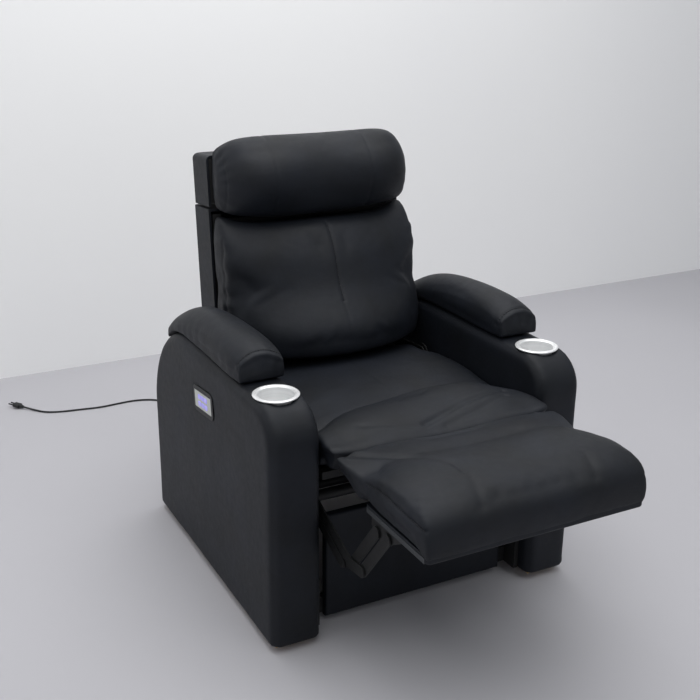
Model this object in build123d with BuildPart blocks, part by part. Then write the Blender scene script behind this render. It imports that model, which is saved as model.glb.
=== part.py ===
from build123d import *
import os
from math import atan2, cos, degrees, hypot, radians, sin, tan

os.makedirs("parts", exist_ok=True)

# A powered cinema recliner seat, built with the footrest out and the back upright.
# Frame: X across the seat, Y from the footrest to the back, Z up, floor at Z = 0. Millimetres.

# ---------------------------------------------------------------- driving sizes: arms
ARM_FRONT_Y = -204.0        # plane of the arms' front faces, so that the origin is mid-way in Y
SEAT_GAP = 560.0            # clear width between the arms
ARM_WIDTH = 120.0
ARM_DEPTH = 785.0
ARM_TOP = 575.0
ARM_FRONT_ROUND = 85.0
ARM_BACK_ROUND = 255.0
ARM_EDGE_ROUND = 22.0
ARM_SKIN = 10.0             # leather on foam
ARM_PLY = 6.0               # side boards of the arm frame
ARM_RAIL = 18.0             # rim rails of the arm frame
FIT = 0.3                   # gap between pieces that are pushed together
GLIDE_HEIGHT = 15.0
GLIDE_RADIUS = 20.0
GLIDE_INSET = 60.0
PAD_FRONT = 172.0           # arm pad's square front, behind the arm's front face
PAD_LENGTH = 518.0
PAD_HEIGHT = 85.0
PAD_HALF_WIDTH = 61.0
PAD_LIP = 10.0              # round of the pad's front corner

# ---------------------------------------------------------------- driving sizes: cups, switch panel
CUP_DEPTH_BACK = 104.0      # cup axis behind the arm's front face
CUP_BODY_RADIUS = 41.0
CUP_RIM_RADIUS = 51.0
CUP_WALL = 1.5
CUP_DEEP = 72.0
CUP_RIM_HEIGHT = 3.5
CUP_GAP = 1.0
PANEL_BACK = 392.0          # switch panel's centre behind the arm's front face
PANEL_HEIGHT = 459.0
PANEL_TILT = 6.0            # degrees, front end up
BEZEL_LENGTH, BEZEL_WIDTH, BEZEL_PROUD = 130.0, 64.0, 2.0
BEZEL_ROUND = 16.0
BEZEL_BODY_INSET = 7.0      # body inside the arm, drawn in from the bezel's rim
BEZEL_BODY_DEEP = 22.0
BEZEL_WALL = 4.0
FACE_THICKNESS = 2.0
BUTTON_LENGTH, BUTTON_WIDTH, BUTTON_HEIGHT = 16.0, 11.0, 7.0
BUTTON_PITCH_X, BUTTON_PITCH_Y = 21.0, 17.0
BUTTON_PROUD = 1.2
BUTTON_GAP = 0.4

# ---------------------------------------------------------------- driving sizes: base and seat
HINGE_BACK, HINGE_HEIGHT = ARM_DEPTH - 285, 440.0       # back's hinge bolts
RAIL_THICKNESS = 12.0       # side rails, between arm and side plate
RAIL_LOW, RAIL_HIGH = 20.0, 140.0
RAIL_FRONT, RAIL_BACK = 40.0, ARM_DEPTH - 25
FRONT_PANEL_BACK = 65.0
FRONT_PANEL_HALF = 240.0
FRONT_PANEL_THICKNESS = 18.0
FRONT_PANEL_LOW, FRONT_PANEL_TOP = 17.0, 279.0
FRONT_PANEL_ROUND = 6.0
CROSS_RAIL = 18.0
FRONT_RAIL_TOP = 60.0
REAR_RAIL_TOP = 120.0
REAR_PANEL_THICKNESS = 12.0
REAR_PANEL_TOP = 330.0
STEEL = 3.5                 # mechanism plates and links
PLATE_FLANGE = 30.0         # side plates' top flange, under the seat frame
LAYER_GAP = 1.5             # gap between neighbouring link layers
SEAT_BOARD_LOW = 384.0
SEAT_BOARD = 18.0
SEAT_BOARD_HALF = 262.0
SEAT_BOARD_FRONT, SEAT_BOARD_BACK = 40.0, HINGE_BACK - 50
SEAT_RAIL = 60.0            # width of the seat frame's rails
SPRING_WIRE = 3.5
SPRING_COUNT = 4
SPRING_WAVES, BACK_SPRING_WAVES = 9, 4
CUSHION_GAP = 1.0
SEAT_CUSHION_BACK = HINGE_BACK + 32      # clear of the back cushion as it reclines
SEAT_CUSHION_HALF = 274.0
SEAT_NOTCH_HALF = 250.0     # cushion's rear half width, clear of the back's hinges
SEAT_NOTCH_FRONT = HINGE_BACK - 60
SEAT_SIDE_TOP, SEAT_CROWN = 470.0, 489.0
FRONT_PAD_BACK = 137.0      # seam between the front pad and the seat cushion
FRONT_PAD_HALF = 272.0
FRONT_PAD_CROWN = 500.0
PAD_SIDE_DROP = 17.0        # how much lower a pad's top is at its side seams

# ---------------------------------------------------------------- driving sizes: footrest
# The knee axis is the line that the footrest swings about: no pin lies on it, because two
# parallelograms of links carry the footrest round it.
KNEE_AHEAD = 10.0           # ahead of the arms' front faces
KNEE_HEIGHT = 445.0
NOSE_RADIUS = 43.0          # round front of the seat pad, about the knee axis
KNEE_GAP = 8.5
SWING = 90.0                # degrees, from out to stowed
BRACKET_PIVOT_AHEAD, BRACKET_PIVOT_HEIGHT = 190.0, 372.0
LIFT_RUN, LIFT_RISE = 95.0, 122.0       # lower to upper pivot of the lift links
LINK_PITCH = 45.0           # distance between the two pivots of a parallelogram's short side
LINK_WIDTH = 26.0
RIVET_RADIUS = 5.0
RIVET_COLLAR = 9.0
RUNNING = 0.05              # radial clearance of a turning fit
OPEN_PIVOT = 0.3            # radial clearance where a link closes its parallelogram
TUBE_RADIUS, TUBE_WALL = 12.7, 2.0
BOARD_HALF = 258.0
BOARD_NEAR, BOARD_FAR = 145.0, 386.0
BOARD_LOW, BOARD_THICKNESS = 400.0, 18.0
BOARD_ROUND = 6.0
BOLSTER_CROWN = 511.0
BOLSTER_FAR = 393.0
BOLSTER_HALF = 263.0
BOLSTER_SIDE_DROP = 7.0
CALF_FAR = 143.0
CALF_HALF = 265.0
CALF_TOP = 488.0
BRACKET_FLANGE = 28.0

# ---------------------------------------------------------------- driving sizes: back and headrest
BACK_TILT = 5.0             # degrees
BACK_HALF = 270.0
BACK_FRAME_FRONT = 132.0    # front of the back's frame, behind the hinge along the tilted back
BACK_FRAME_THICKNESS = 60.0
BACK_FRAME_RAIL = 22.0
BACK_SHELL_LOW, BACK_SHELL_HIGH = -68.0, 424.0
BACK_SHELL_REAR_LOW, BACK_SHELL_REAR_HIGH = 258.0, 254.0
BACK_SHELL_WALL = 6.0
BACK_SHELL_ROUND = 28.0
BACK_SWING = 35.0           # degrees of recline
BACK_CUSHION_LOW, BACK_CUSHION_TOP = 56.0, 385.0
BACK_CUSHION_HALF = 274.0
HEAD_GAP = 6.0              # gap between the back's shell and the headrest's shell
HEAD_HIGH = 556.0
HEAD_BOARD = 18.0
HEAD_PIVOT_BACK, HEAD_PIVOT_UP = 141.0, 452.0
HEAD_SWING = 20.0           # degrees
HEAD_HINGE_X = 120.0
BOLSTER_HEAD_HALF = 266.0
HINGE_RADIUS = 6.0

# ---------------------------------------------------------------- driving sizes: actuators
LIFT_X, BACK_X = 90.0, -90.0
LIFT_CRANK = 32.0           # height of the lift rod's line above the drive tube
ROD_BELOW_SEAT = 39.0       # back rod's line below the seat's board
ROD_END_GAP = 6.0           # left between a drawn-in rod and its gearbox
HEAD_CRANK = 45.0
ROD_RADIUS = 10.0
ROD_TUBE_RADIUS = 15.0
PIN_RADIUS = 4.0
CRANK_SLOT = 7.0            # half width of the slots that the rods' pins ride in
FORK_HALF = 12.0
MOTOR_RADIUS = 21.0
GEARBOX = (56.0, 54.0, 62.0)
ROD_FORK = 40.0             # from a rod's end to its fork's pin
TUBE_DROP = 45.0            # mount tubes' axes below the back rod's line
FRONT_TUBE_BACK, REAR_TUBE_BACK = 178.0, HINGE_BACK - 45

# ---------------------------------------------------------------- driving sizes: mains cord
CORD_DIAMETER = 6.0
CORD_X = -120.0
CORD_HEIGHT = 60.0
GLAND_LENGTH = 30.0
PLUG_LENGTH, PLUG_WIDTH, PLUG_HEIGHT = 36.0, 24.0, 16.0
PLUG_PIN_RADIUS, PLUG_PIN_LENGTH, PLUG_PIN_PITCH = 2.4, 19.0, 12.0

SIDES = (-1, 1)
ARM_MIDDLE = (SEAT_GAP + ARM_WIDTH) / 2
PLATE_X = SEAT_GAP / 2 - RAIL_THICKNESS - STEEL / 2


def depth(distance):
    """Y of a plane a distance behind the arms' front faces."""
    return ARM_FRONT_Y + distance


def ahead(point):
    """Side view point from (distance ahead of the arms' front faces, height)."""
    return (ARM_FRONT_Y - point[0], point[1])


def back_point(behind, up):
    """Side view point from the tilted back's own axes, which start at its hinge."""
    tilt = radians(BACK_TILT)
    y = depth(HINGE_BACK) + behind * cos(tilt) + up * sin(tilt)
    return (y, HINGE_HEIGHT - behind * sin(tilt) + up * cos(tilt))


def layer(number):
    """X of the middle of a link layer: 0 is the side plate, and 3 the footrest's bracket."""
    return PLATE_X - number * (STEEL + LAYER_GAP)


def side_view(x):
    """Sketch plane at X = x whose axes are Y and Z."""
    return Plane.YZ.offset(x)


def front_view(y):
    """Sketch plane at Y = y whose axes are X and Z."""
    return Plane(origin=(0, y, 0), x_dir=(1, 0, 0), z_dir=(0, -1, 0))


def back_axes(behind, up):
    """Plane at a point of the tilted back, whose normal runs up along the back."""
    origin = back_point(behind, up)
    tilt = radians(BACK_TILT)
    return Plane(origin=(0, origin[0], origin[1]), x_dir=(1, 0, 0), z_dir=(0, sin(tilt), cos(tilt)))


def save(piece, name):
    """Label a finished piece and write it to its own file."""
    piece.part.label = name
    export_step(piece.part, f"parts/{name}.step")


def disc(x, point, radius, half_length, mode=Mode.ADD):
    """A round bar along X about the side view point, half_length each way from x."""
    with BuildSketch(side_view(x)) as profile:
        with Locations(point):
            Circle(radius)
    extrude(profile.sketch, amount=half_length, both=True, mode=mode)


def slab(x, y, z, mode=Mode.ADD):
    """A box given by its (low, high) pairs."""
    with BuildSketch(Plane.XY.offset(z[0])) as profile:
        with Locations(((x[0] + x[1]) / 2, (y[0] + y[1]) / 2)):
            Rectangle(x[1] - x[0], y[1] - y[0])
    extrude(profile.sketch, amount=z[1] - z[0], mode=mode)


def bar(start, end, width):
    """Outline of a straight link between two pivots, in the current sketch."""
    run, rise = end[0] - start[0], end[1] - start[1]
    with Locations(((start[0] + end[0]) / 2, (start[1] + end[1]) / 2)):
        SlotCenterToCenter(hypot(run, rise), width, rotation=degrees(atan2(rise, run)))


def holes(points, radius):
    """Round holes in the current sketch."""
    with Locations(*points):
        Circle(radius, mode=Mode.SUBTRACT)


# ================================================================ places worked out from the sizes
KNEE = (KNEE_AHEAD, KNEE_HEIGHT)
LIFT_ANGLE = degrees(atan2(LIFT_RISE, LIFT_RUN))
REACH = (BRACKET_PIVOT_AHEAD - KNEE_AHEAD, BRACKET_PIVOT_HEIGHT - KNEE_HEIGHT)
DRIVE_MIDDLE = degrees(atan2(REACH[1], REACH[0])) - SWING / 2
GUIDE_ANGLE = radians(DRIVE_MIDDLE - 90)
OUTER_ANGLE = radians(LIFT_ANGLE - 90 + SWING / 2)
GUIDE_STEP = (LINK_PITCH * cos(GUIDE_ANGLE), LINK_PITCH * sin(GUIDE_ANGLE))
OUTER_STEP = (LINK_PITCH * cos(OUTER_ANGLE), LINK_PITCH * sin(OUTER_ANGLE))


def shifted(point, step):
    """The point moved by a step."""
    return (point[0] + step[0], point[1] + step[1])


DRIVE_PIVOT = shifted(KNEE, (-LIFT_RUN, -LIFT_RISE))
BRACKET_PIVOT = (BRACKET_PIVOT_AHEAD, BRACKET_PIVOT_HEIGHT)
ELBOW = shifted(BRACKET_PIVOT, (-LIFT_RUN, -LIFT_RISE))
GUIDE_PIVOT = shifted(DRIVE_PIVOT, GUIDE_STEP)
GUIDE_END = shifted(ELBOW, GUIDE_STEP)
OUTER_ELBOW = shifted(ELBOW, OUTER_STEP)
OUTER_END = shifted(BRACKET_PIVOT, OUTER_STEP)
HEAD_STROKE = 2 * HEAD_CRANK * tan(radians(HEAD_SWING / 2))
HEAD_PIN = (HEAD_PIVOT_BACK + HEAD_CRANK, HEAD_PIVOT_UP - HEAD_STROKE / 2)      # behind, up
SEAT_TOP_BOARD = SEAT_BOARD_LOW + SEAT_BOARD
CUSHION_LOW = SEAT_TOP_BOARD + CUSHION_GAP
BOLT_PLACES = [(depth(d), (RAIL_HIGH + FRONT_RAIL_TOP) / 2) for d in (300, 420, HINGE_BACK + 40)]
BOLT_RADIUS, BOLT_HEAD, BOLT_HEAD_HEIGHT = 4.0, 7.0, 4.5
HINGE = (depth(HINGE_BACK), HINGE_HEIGHT)
BACK_HEIGHT = SEAT_BOARD_LOW - ROD_BELOW_SEAT
BACK_CRANK = HINGE_HEIGHT - BACK_HEIGHT     # depth of the back rod's line below the hinge
MOUNT_TUBE_HEIGHT = BACK_HEIGHT - TUBE_DROP


# ================================================================ arms
def arm_outline(inset):
    """Side outline of an arm, drawn in from its skin by the inset, as a face."""
    front, back, top = depth(inset), depth(ARM_DEPTH - inset), ARM_TOP - inset
    r_front, r_back = ARM_FRONT_ROUND - inset, ARM_BACK_ROUND - inset
    with BuildLine() as outline:
        Polyline((front, top - r_front), (front, GLIDE_HEIGHT), (back, GLIDE_HEIGHT), (back, top - r_back))
        CenterArc((back - r_back, top - r_back), r_back, 0, 90)
        Line((back - r_back, top), (front + r_front, top))
        CenterArc((front + r_front, top - r_front), r_front, 90, 90)
    make_face(outline.edges())


PANEL = Plane(
    origin=(-SEAT_GAP / 2 - ARM_WIDTH, depth(PANEL_BACK), PANEL_HEIGHT),
    x_dir=(0, -cos(radians(PANEL_TILT)), sin(radians(PANEL_TILT))),
    z_dir=(-1, 0, 0),
)


def panel_block(margin, low, high, round_radius=0.0, mode=Mode.ADD):
    """A block on the switch panel's plane, drawn in by the margin, from low to high."""
    with BuildSketch(PANEL.offset(low)) as profile:
        length, width = BEZEL_LENGTH - 2 * margin, BEZEL_WIDTH - 2 * margin
        if round_radius:
            RectangleRounded(length, width, round_radius)
        else:
            Rectangle(length, width)
    extrude(profile.sketch, amount=high - low, mode=mode)


def bolt_holes(x, half_length):
    """Holes for the arm bolts through whatever stands at X = x."""
    for place in BOLT_PLACES:
        disc(x, place, BOLT_RADIUS + FIT, half_length, mode=Mode.SUBTRACT)


def cup_profile(x):
    """Half section of a cup and its rolled rim about the upright axis at x."""
    rim, body, wall = CUP_RIM_RADIUS, CUP_BODY_RADIUS, CUP_WALL
    section = [
        (0, -CUP_DEEP), (body - 6, -CUP_DEEP), (body, 6 - CUP_DEEP), (body, 0), (rim, 0),
        (rim, CUP_RIM_HEIGHT / 2), (rim - 2.5, CUP_RIM_HEIGHT), (body + 3, CUP_RIM_HEIGHT),
        (body - wall, CUP_RIM_HEIGHT - 3), (body - wall, 6 - CUP_DEEP + wall),
        (body - 6 - wall, wall - CUP_DEEP), (0, wall - CUP_DEEP),
    ]
    with BuildLine() as outline:
        Polyline(*[(x + radius, ARM_TOP + height) for radius, height in section], close=True)
    make_face(outline.edges())


for side, hand in ((-1, "left"), (1, "right")):
    middle = side * ARM_MIDDLE
    cup_axis = (middle, depth(CUP_DEPTH_BACK))
    inner_wall = side * (SEAT_GAP / 2 + ARM_SKIN)

    with BuildPart() as arm_cover:
        with BuildSketch(side_view(middle)):
            arm_outline(0)
        extrude(amount=ARM_WIDTH / 2, both=True)
        flanks = arm_cover.faces().sort_by(Axis.X)
        rims = flanks[0].edges() + flanks[-1].edges()
        fillet(rims.filter_by(lambda edge: edge.center().Z > GLIDE_HEIGHT + 1), ARM_EDGE_ROUND)
        with BuildSketch(side_view(middle)):
            arm_outline(ARM_SKIN)
        extrude(amount=ARM_WIDTH / 2 - ARM_SKIN, both=True, mode=Mode.SUBTRACT)
        with BuildSketch(Plane.XY.offset(ARM_TOP - CUP_DEEP)):
            with Locations(cup_axis):
                Circle(CUP_BODY_RADIUS + CUP_GAP)
        extrude(amount=CUP_DEEP + 1, mode=Mode.SUBTRACT)
        bolt_holes(inner_wall, ARM_SKIN + ARM_PLY)
        if side < 0:
            panel_block(BEZEL_BODY_INSET - FIT, -ARM_SKIN - 1, 1, mode=Mode.SUBTRACT)
    save(arm_cover, f"arm_cover_{hand}")

    with BuildPart() as arm_frame:
        with BuildSketch(side_view(middle)):
            arm_outline(ARM_SKIN + FIT)
        extrude(amount=ARM_WIDTH / 2 - ARM_SKIN - FIT, both=True)
        with BuildSketch(side_view(middle)):
            arm_outline(ARM_SKIN + ARM_RAIL)
        extrude(amount=ARM_WIDTH / 2 - ARM_SKIN - ARM_PLY, both=True, mode=Mode.SUBTRACT)
        slab(
            (middle - ARM_WIDTH, middle + ARM_WIDTH), (depth(0), depth(ARM_DEPTH)),
            (GLIDE_HEIGHT - 1, GLIDE_HEIGHT), mode=Mode.SUBTRACT,
        )
        slab(
            (middle - ARM_WIDTH / 2 + ARM_SKIN + FIT, middle + ARM_WIDTH / 2 - ARM_SKIN - FIT),
            (depth(ARM_SKIN + ARM_RAIL), depth(ARM_DEPTH - ARM_SKIN - ARM_RAIL)),
            (GLIDE_HEIGHT, GLIDE_HEIGHT + ARM_RAIL),
        )
        with BuildSketch(Plane.XY.offset(ARM_TOP - CUP_DEEP)):
            with Locations(cup_axis):
                Circle(CUP_BODY_RADIUS + CUP_GAP)
        extrude(amount=CUP_DEEP + 1, mode=Mode.SUBTRACT)
        bolt_holes(inner_wall, ARM_SKIN + ARM_PLY)
        if side < 0:
            panel_block(BEZEL_BODY_INSET - FIT, -ARM_SKIN - ARM_PLY - 1, 1, mode=Mode.SUBTRACT)
    save(arm_frame, f"arm_frame_{hand}")

    with BuildPart() as cup:
        with BuildSketch(Plane.XZ.offset(-cup_axis[1])):
            cup_profile(middle)
        revolve(axis=Axis((cup_axis[0], cup_axis[1], 0), (0, 0, 1)))
    save(cup, f"cup_holder_{hand}")

    # the pad is a pillow: square front, crown that falls to the back, sides drawn in at its ends
    with BuildPart() as arm_pad:
        stations = [
            (0.0, 0.93, 0.50, 0.78), (0.08, 1.0, 0.60, 0.95), (0.30, 1.0, 0.66, 1.0),
            (0.58, 1.0, 0.48, 0.87), (0.84, 0.98, 0.10, 0.50), (1.0, 0.80, -0.35, -0.05),
        ]
        for share, width, side_share, crown_share in stations:
            with BuildSketch(front_view(depth(PAD_FRONT + share * PAD_LENGTH))):
                half = PAD_HALF_WIDTH * width
                low = ARM_TOP - ARM_BACK_ROUND / 2
                side_top, crown = ARM_TOP + PAD_HEIGHT * side_share, ARM_TOP + PAD_HEIGHT * crown_share
                near, far = middle - half, middle + half
                with BuildLine():
                    Polyline((near, side_top), (near, low), (far, low), (far, side_top))
                    ThreePointArc((far, side_top), (middle, crown), (near, side_top))
                make_face()
        loft()
        with BuildSketch(side_view(middle)):
            arm_outline(-FIT)
        extrude(amount=ARM_WIDTH, both=True, mode=Mode.SUBTRACT)
    save(arm_pad, f"arm_pad_{hand}")

with BuildPart() as glides:
    for side in SIDES:
        with BuildSketch(Plane.XY):
            with Locations(*[(side * ARM_MIDDLE, depth(d)) for d in (GLIDE_INSET, ARM_DEPTH - GLIDE_INSET)]):
                Circle(GLIDE_RADIUS)
        extrude(amount=GLIDE_HEIGHT)
    chamfer(glides.edges().group_by(Axis.Z)[0], 2)
save(glides, "glides")

# ================================================================ switch panel in the left arm
CAVITY = BEZEL_BODY_INSET + BEZEL_WALL
with BuildPart() as control_bezel:
    panel_block(0, 0, BEZEL_PROUD, BEZEL_ROUND)
    fillet(control_bezel.edges().group_by(Axis.X)[0], 1.2)
    panel_block(BEZEL_BODY_INSET, -BEZEL_BODY_DEEP, 0)
    panel_block(CAVITY, BEZEL_WALL - BEZEL_BODY_DEEP, BEZEL_PROUD, mode=Mode.SUBTRACT)
    with BuildSketch(PANEL.offset(BEZEL_WALL - BEZEL_BODY_DEEP)):
        with GridLocations(BEZEL_LENGTH - 2 * CAVITY - 8, BEZEL_WIDTH - 2 * CAVITY - 8, 2, 2):
            Rectangle(8, 8)
    extrude(amount=BEZEL_BODY_DEEP - BEZEL_WALL)
save(control_bezel, "control_bezel")

BUTTON_SPOTS = [
    ("footrest_out", -1, 1), ("footrest_in", -1, 0), ("back_down", 0, 1),
    ("back_up", 0, 0), ("head_out", 1, 1), ("head_in", 1, 0),
]


def button_place(column, row):
    """A button's centre on the switch panel's plane."""
    return (column * BUTTON_PITCH_X, (row - 0.5) * BUTTON_PITCH_Y)


with BuildPart() as control_face:
    panel_block(CAVITY + FIT, 0, FACE_THICKNESS)
    with BuildSketch(PANEL):
        with Locations(*[button_place(column, row) for _, column, row in BUTTON_SPOTS]):
            RectangleRounded(BUTTON_LENGTH + 2 * BUTTON_GAP, BUTTON_WIDTH + 2 * BUTTON_GAP, 2 + BUTTON_GAP)
    extrude(amount=FACE_THICKNESS, mode=Mode.SUBTRACT)
save(control_face, "control_face")

for button_name, column, row in BUTTON_SPOTS:
    with BuildPart() as button:
        top = FACE_THICKNESS + BUTTON_PROUD
        with BuildSketch(PANEL.offset(top - BUTTON_HEIGHT)):
            with Locations(button_place(column, row)):
                RectangleRounded(BUTTON_LENGTH, BUTTON_WIDTH, 2)
        extrude(amount=BUTTON_HEIGHT)
        fillet(button.edges().group_by(Axis.X)[0], 0.6)
    save(button, f"button_{button_name}")

# ================================================================ base
RAIL_INNER = SEAT_GAP / 2 - RAIL_THICKNESS
with BuildPart() as base_rails:
    for side in SIDES:
        inner, outer = sorted((side * RAIL_INNER, side * SEAT_GAP / 2))
        slab((inner, outer), (depth(RAIL_FRONT), depth(RAIL_BACK)), (RAIL_LOW, RAIL_HIGH))
        bolt_holes(side * SEAT_GAP / 2, RAIL_THICKNESS + 1)
    front_rail = FRONT_PANEL_BACK + FRONT_PANEL_THICKNESS
    rear_rail = ARM_DEPTH - REAR_PANEL_THICKNESS - CROSS_RAIL - 1
    across = (-RAIL_INNER, RAIL_INNER)
    slab(across, (depth(front_rail), depth(front_rail + CROSS_RAIL)), (RAIL_LOW, FRONT_RAIL_TOP))
    slab(across, (depth(rear_rail), depth(rear_rail + CROSS_RAIL)), (RAIL_LOW, REAR_RAIL_TOP))
save(base_rails, "base_rails")

with BuildPart() as front_panel:
    slab(
        (-FRONT_PANEL_HALF, FRONT_PANEL_HALF),
        (depth(FRONT_PANEL_BACK), depth(FRONT_PANEL_BACK + FRONT_PANEL_THICKNESS)),
        (FRONT_PANEL_LOW, FRONT_PANEL_TOP),
    )
    fillet(front_panel.faces().sort_by(Axis.Y)[0].edges(), FRONT_PANEL_ROUND)
save(front_panel, "front_panel")

REAR_FACE = ARM_DEPTH - 1
with BuildPart() as rear_panel:
    slab(
        (FIT - SEAT_GAP / 2, SEAT_GAP / 2 - FIT),
        (depth(REAR_FACE - REAR_PANEL_THICKNESS), depth(REAR_FACE)),
        (RAIL_LOW, REAR_PANEL_TOP),
    )
    fillet(rear_panel.faces().sort_by(Axis.Y)[-1].edges(), 4)
    with BuildSketch(front_view(depth(REAR_FACE))):
        with Locations((CORD_X, CORD_HEIGHT)):
            Circle(CORD_DIAMETER + 2)
    extrude(amount=REAR_PANEL_THICKNESS, both=True, mode=Mode.SUBTRACT)
save(rear_panel, "rear_panel")


def side_plate_outline():
    """Steel side plate: a foot along the rail, a front horn, a rear ear, and windows."""
    low = FRONT_RAIL_TOP + 12
    flange = SEAT_BOARD_LOW
    with BuildLine() as outline:
        Polyline(
            (depth(60), low), (HINGE[0] + 90, low), (HINGE[0] + 90, RAIL_HIGH), (HINGE[0] + 45, 300),
            (HINGE[0] + 28, HINGE_HEIGHT), (HINGE[0] - 28, HINGE_HEIGHT), (HINGE[0] - 45, flange),
            (depth(64), flange), (depth(52), DRIVE_PIVOT[1] - 30), close=True,
        )
    make_face(outline.edges())
    with Locations(HINGE):
        Circle(28)
    for window in ((235, 250), (350, 250)):
        with Locations((depth(window[0]), window[1])):
            RectangleRounded(72, 110, 18, mode=Mode.SUBTRACT)
    with Locations((HINGE[0] - 50, 190)):
        RectangleRounded(60, 60, 18, mode=Mode.SUBTRACT)


with BuildPart() as side_plates:
    for side in SIDES:
        with BuildSketch(side_view(side * PLATE_X)):
            side_plate_outline()
            holes([ahead(DRIVE_PIVOT)], TUBE_RADIUS + RUNNING)
            holes([ahead(GUIDE_PIVOT)], RIVET_RADIUS + RUNNING)
            holes([HINGE], HINGE_RADIUS)
            holes(BOLT_PLACES, BOLT_RADIUS + FIT)
            holes([(depth(FRONT_TUBE_BACK), MOUNT_TUBE_HEIGHT), (depth(REAR_TUBE_BACK), MOUNT_TUBE_HEIGHT)],
                  TUBE_RADIUS)
        extrude(amount=STEEL / 2, both=True)
        flange_x = sorted((side * (PLATE_X + STEEL / 2), side * (PLATE_X - PLATE_FLANGE)))
        slab(flange_x, (depth(2 * SEAT_BOARD_FRONT), depth(SEAT_BOARD_BACK)),
             (SEAT_BOARD_LOW - STEEL, SEAT_BOARD_LOW))
save(side_plates, "side_plates")

with BuildPart() as mount_tubes:
    for back_distance, x, height in (
        (FRONT_TUBE_BACK, BACK_X, BACK_HEIGHT),
        (REAR_TUBE_BACK, LIFT_X, DRIVE_PIVOT[1] + LIFT_CRANK),
    ):
        centre = (depth(back_distance), MOUNT_TUBE_HEIGHT)
        with BuildSketch(side_view(x)):
            bar(centre, (centre[0], height), 24)
            holes([centre], TUBE_RADIUS)
            holes([(centre[0], height)], PIN_RADIUS + RUNNING)
        extrude(amount=4, both=True)
        with BuildSketch(side_view(0)):
            with Locations(centre):
                Circle(TUBE_RADIUS)
                Circle(TUBE_RADIUS - TUBE_WALL, mode=Mode.SUBTRACT)
        extrude(amount=PLATE_X + STEEL / 2, both=True)
save(mount_tubes, "mount_tubes")

with BuildPart() as mechanism_bolts:
    for side in SIDES:
        for place in BOLT_PLACES:
            grip = (side * (PLATE_X - STEEL / 2 + SEAT_GAP / 2 + ARM_SKIN + ARM_PLY) / 2)
            half_grip = (SEAT_GAP / 2 + ARM_SKIN + ARM_PLY - PLATE_X + STEEL / 2) / 2
            disc(grip, place, BOLT_RADIUS, half_grip)
            with BuildSketch(side_view(side * (PLATE_X - STEEL / 2))):
                with Locations(place):
                    RegularPolygon(BOLT_HEAD, 6)
            extrude(amount=-side * BOLT_HEAD_HEIGHT)
save(mechanism_bolts, "mechanism_bolts")

# ================================================================ seat
with BuildPart() as seat_frame:
    slab(
        (-SEAT_BOARD_HALF, SEAT_BOARD_HALF), (depth(SEAT_BOARD_FRONT), depth(SEAT_BOARD_BACK)),
        (SEAT_BOARD_LOW, SEAT_TOP_BOARD),
    )
    slab(
        (SEAT_RAIL - SEAT_BOARD_HALF, SEAT_BOARD_HALF - SEAT_RAIL),
        (depth(SEAT_BOARD_FRONT + SEAT_RAIL), depth(SEAT_BOARD_BACK - SEAT_RAIL)),
        (SEAT_BOARD_LOW - 1, SEAT_TOP_BOARD + 1), mode=Mode.SUBTRACT,
    )
save(seat_frame, "seat_frame")


def zigzag(x, low, high, waves, swing):
    """Centre line of a sinuous spring from low to high about x, in the current sketch."""
    step = (high - low) / (waves + 1)
    with BuildLine() as outline:
        points = [(x, low), (x, low + 0.45 * step)]
        for wave in range(waves):
            reach = swing if wave % 2 else -swing
            points += [(x + reach, low + (wave + 0.75) * step), (x + reach, low + (wave + 1.25) * step)]
        points += [(x, high - 0.45 * step), (x, high)]
        FilletPolyline(*points, radius=step * 0.2)
    trace(outline.edges(), line_width=SPRING_WIRE)


spring_pitch = 2 * (SEAT_BOARD_HALF - SEAT_RAIL) / SPRING_COUNT
with BuildPart() as seat_springs:
    for number in range(SPRING_COUNT):
        spring_x = (number - (SPRING_COUNT - 1) / 2) * spring_pitch
        with BuildSketch(Plane.XY.offset(SEAT_TOP_BOARD - 2 * SPRING_WIRE)):
            zigzag(
                spring_x, depth(SEAT_BOARD_FRONT + SEAT_RAIL), depth(SEAT_BOARD_BACK - SEAT_RAIL),
                SPRING_WAVES, spring_pitch * 0.28,
            )
        extrude(amount=SPRING_WIRE)
save(seat_springs, "seat_springs")


def crowned(half, low, side_top, crown):
    """Front view of a cushion: flat below, straight sides, arched top, in the current sketch."""
    with BuildLine() as outline:
        Polyline((-half, side_top), (-half, low), (half, low), (half, side_top))
        ThreePointArc((half, side_top), (0, crown), (-half, side_top))
    make_face(outline.edges())


with BuildPart() as seat_cushion:
    for back_distance, half, drop in (
        (FRONT_PAD_BACK + CUSHION_GAP, SEAT_CUSHION_HALF - 4, 8), (230, SEAT_CUSHION_HALF, 0),
        (HINGE_BACK - 100, SEAT_CUSHION_HALF, 0), (SEAT_CUSHION_BACK, SEAT_CUSHION_HALF - 6, 10),
    ):
        with BuildSketch(front_view(depth(back_distance))):
            crowned(half, CUSHION_LOW, SEAT_SIDE_TOP - drop, SEAT_CROWN - drop)
    loft()
    for side in SIDES:
        notch = sorted((side * SEAT_NOTCH_HALF, side * SEAT_GAP))
        slab(
            notch, (depth(SEAT_NOTCH_FRONT), depth(SEAT_CUSHION_BACK + 1)),
            (CUSHION_LOW - 1, SEAT_CROWN + 1), mode=Mode.SUBTRACT,
        )
save(seat_cushion, "seat_cushion")


def around(centre, radius, angle):
    """Side view point on a circle; the angle is from straight ahead, up positive."""
    return ahead((centre[0] + radius * cos(radians(angle)), centre[1] + radius * sin(radians(angle))))


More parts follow.
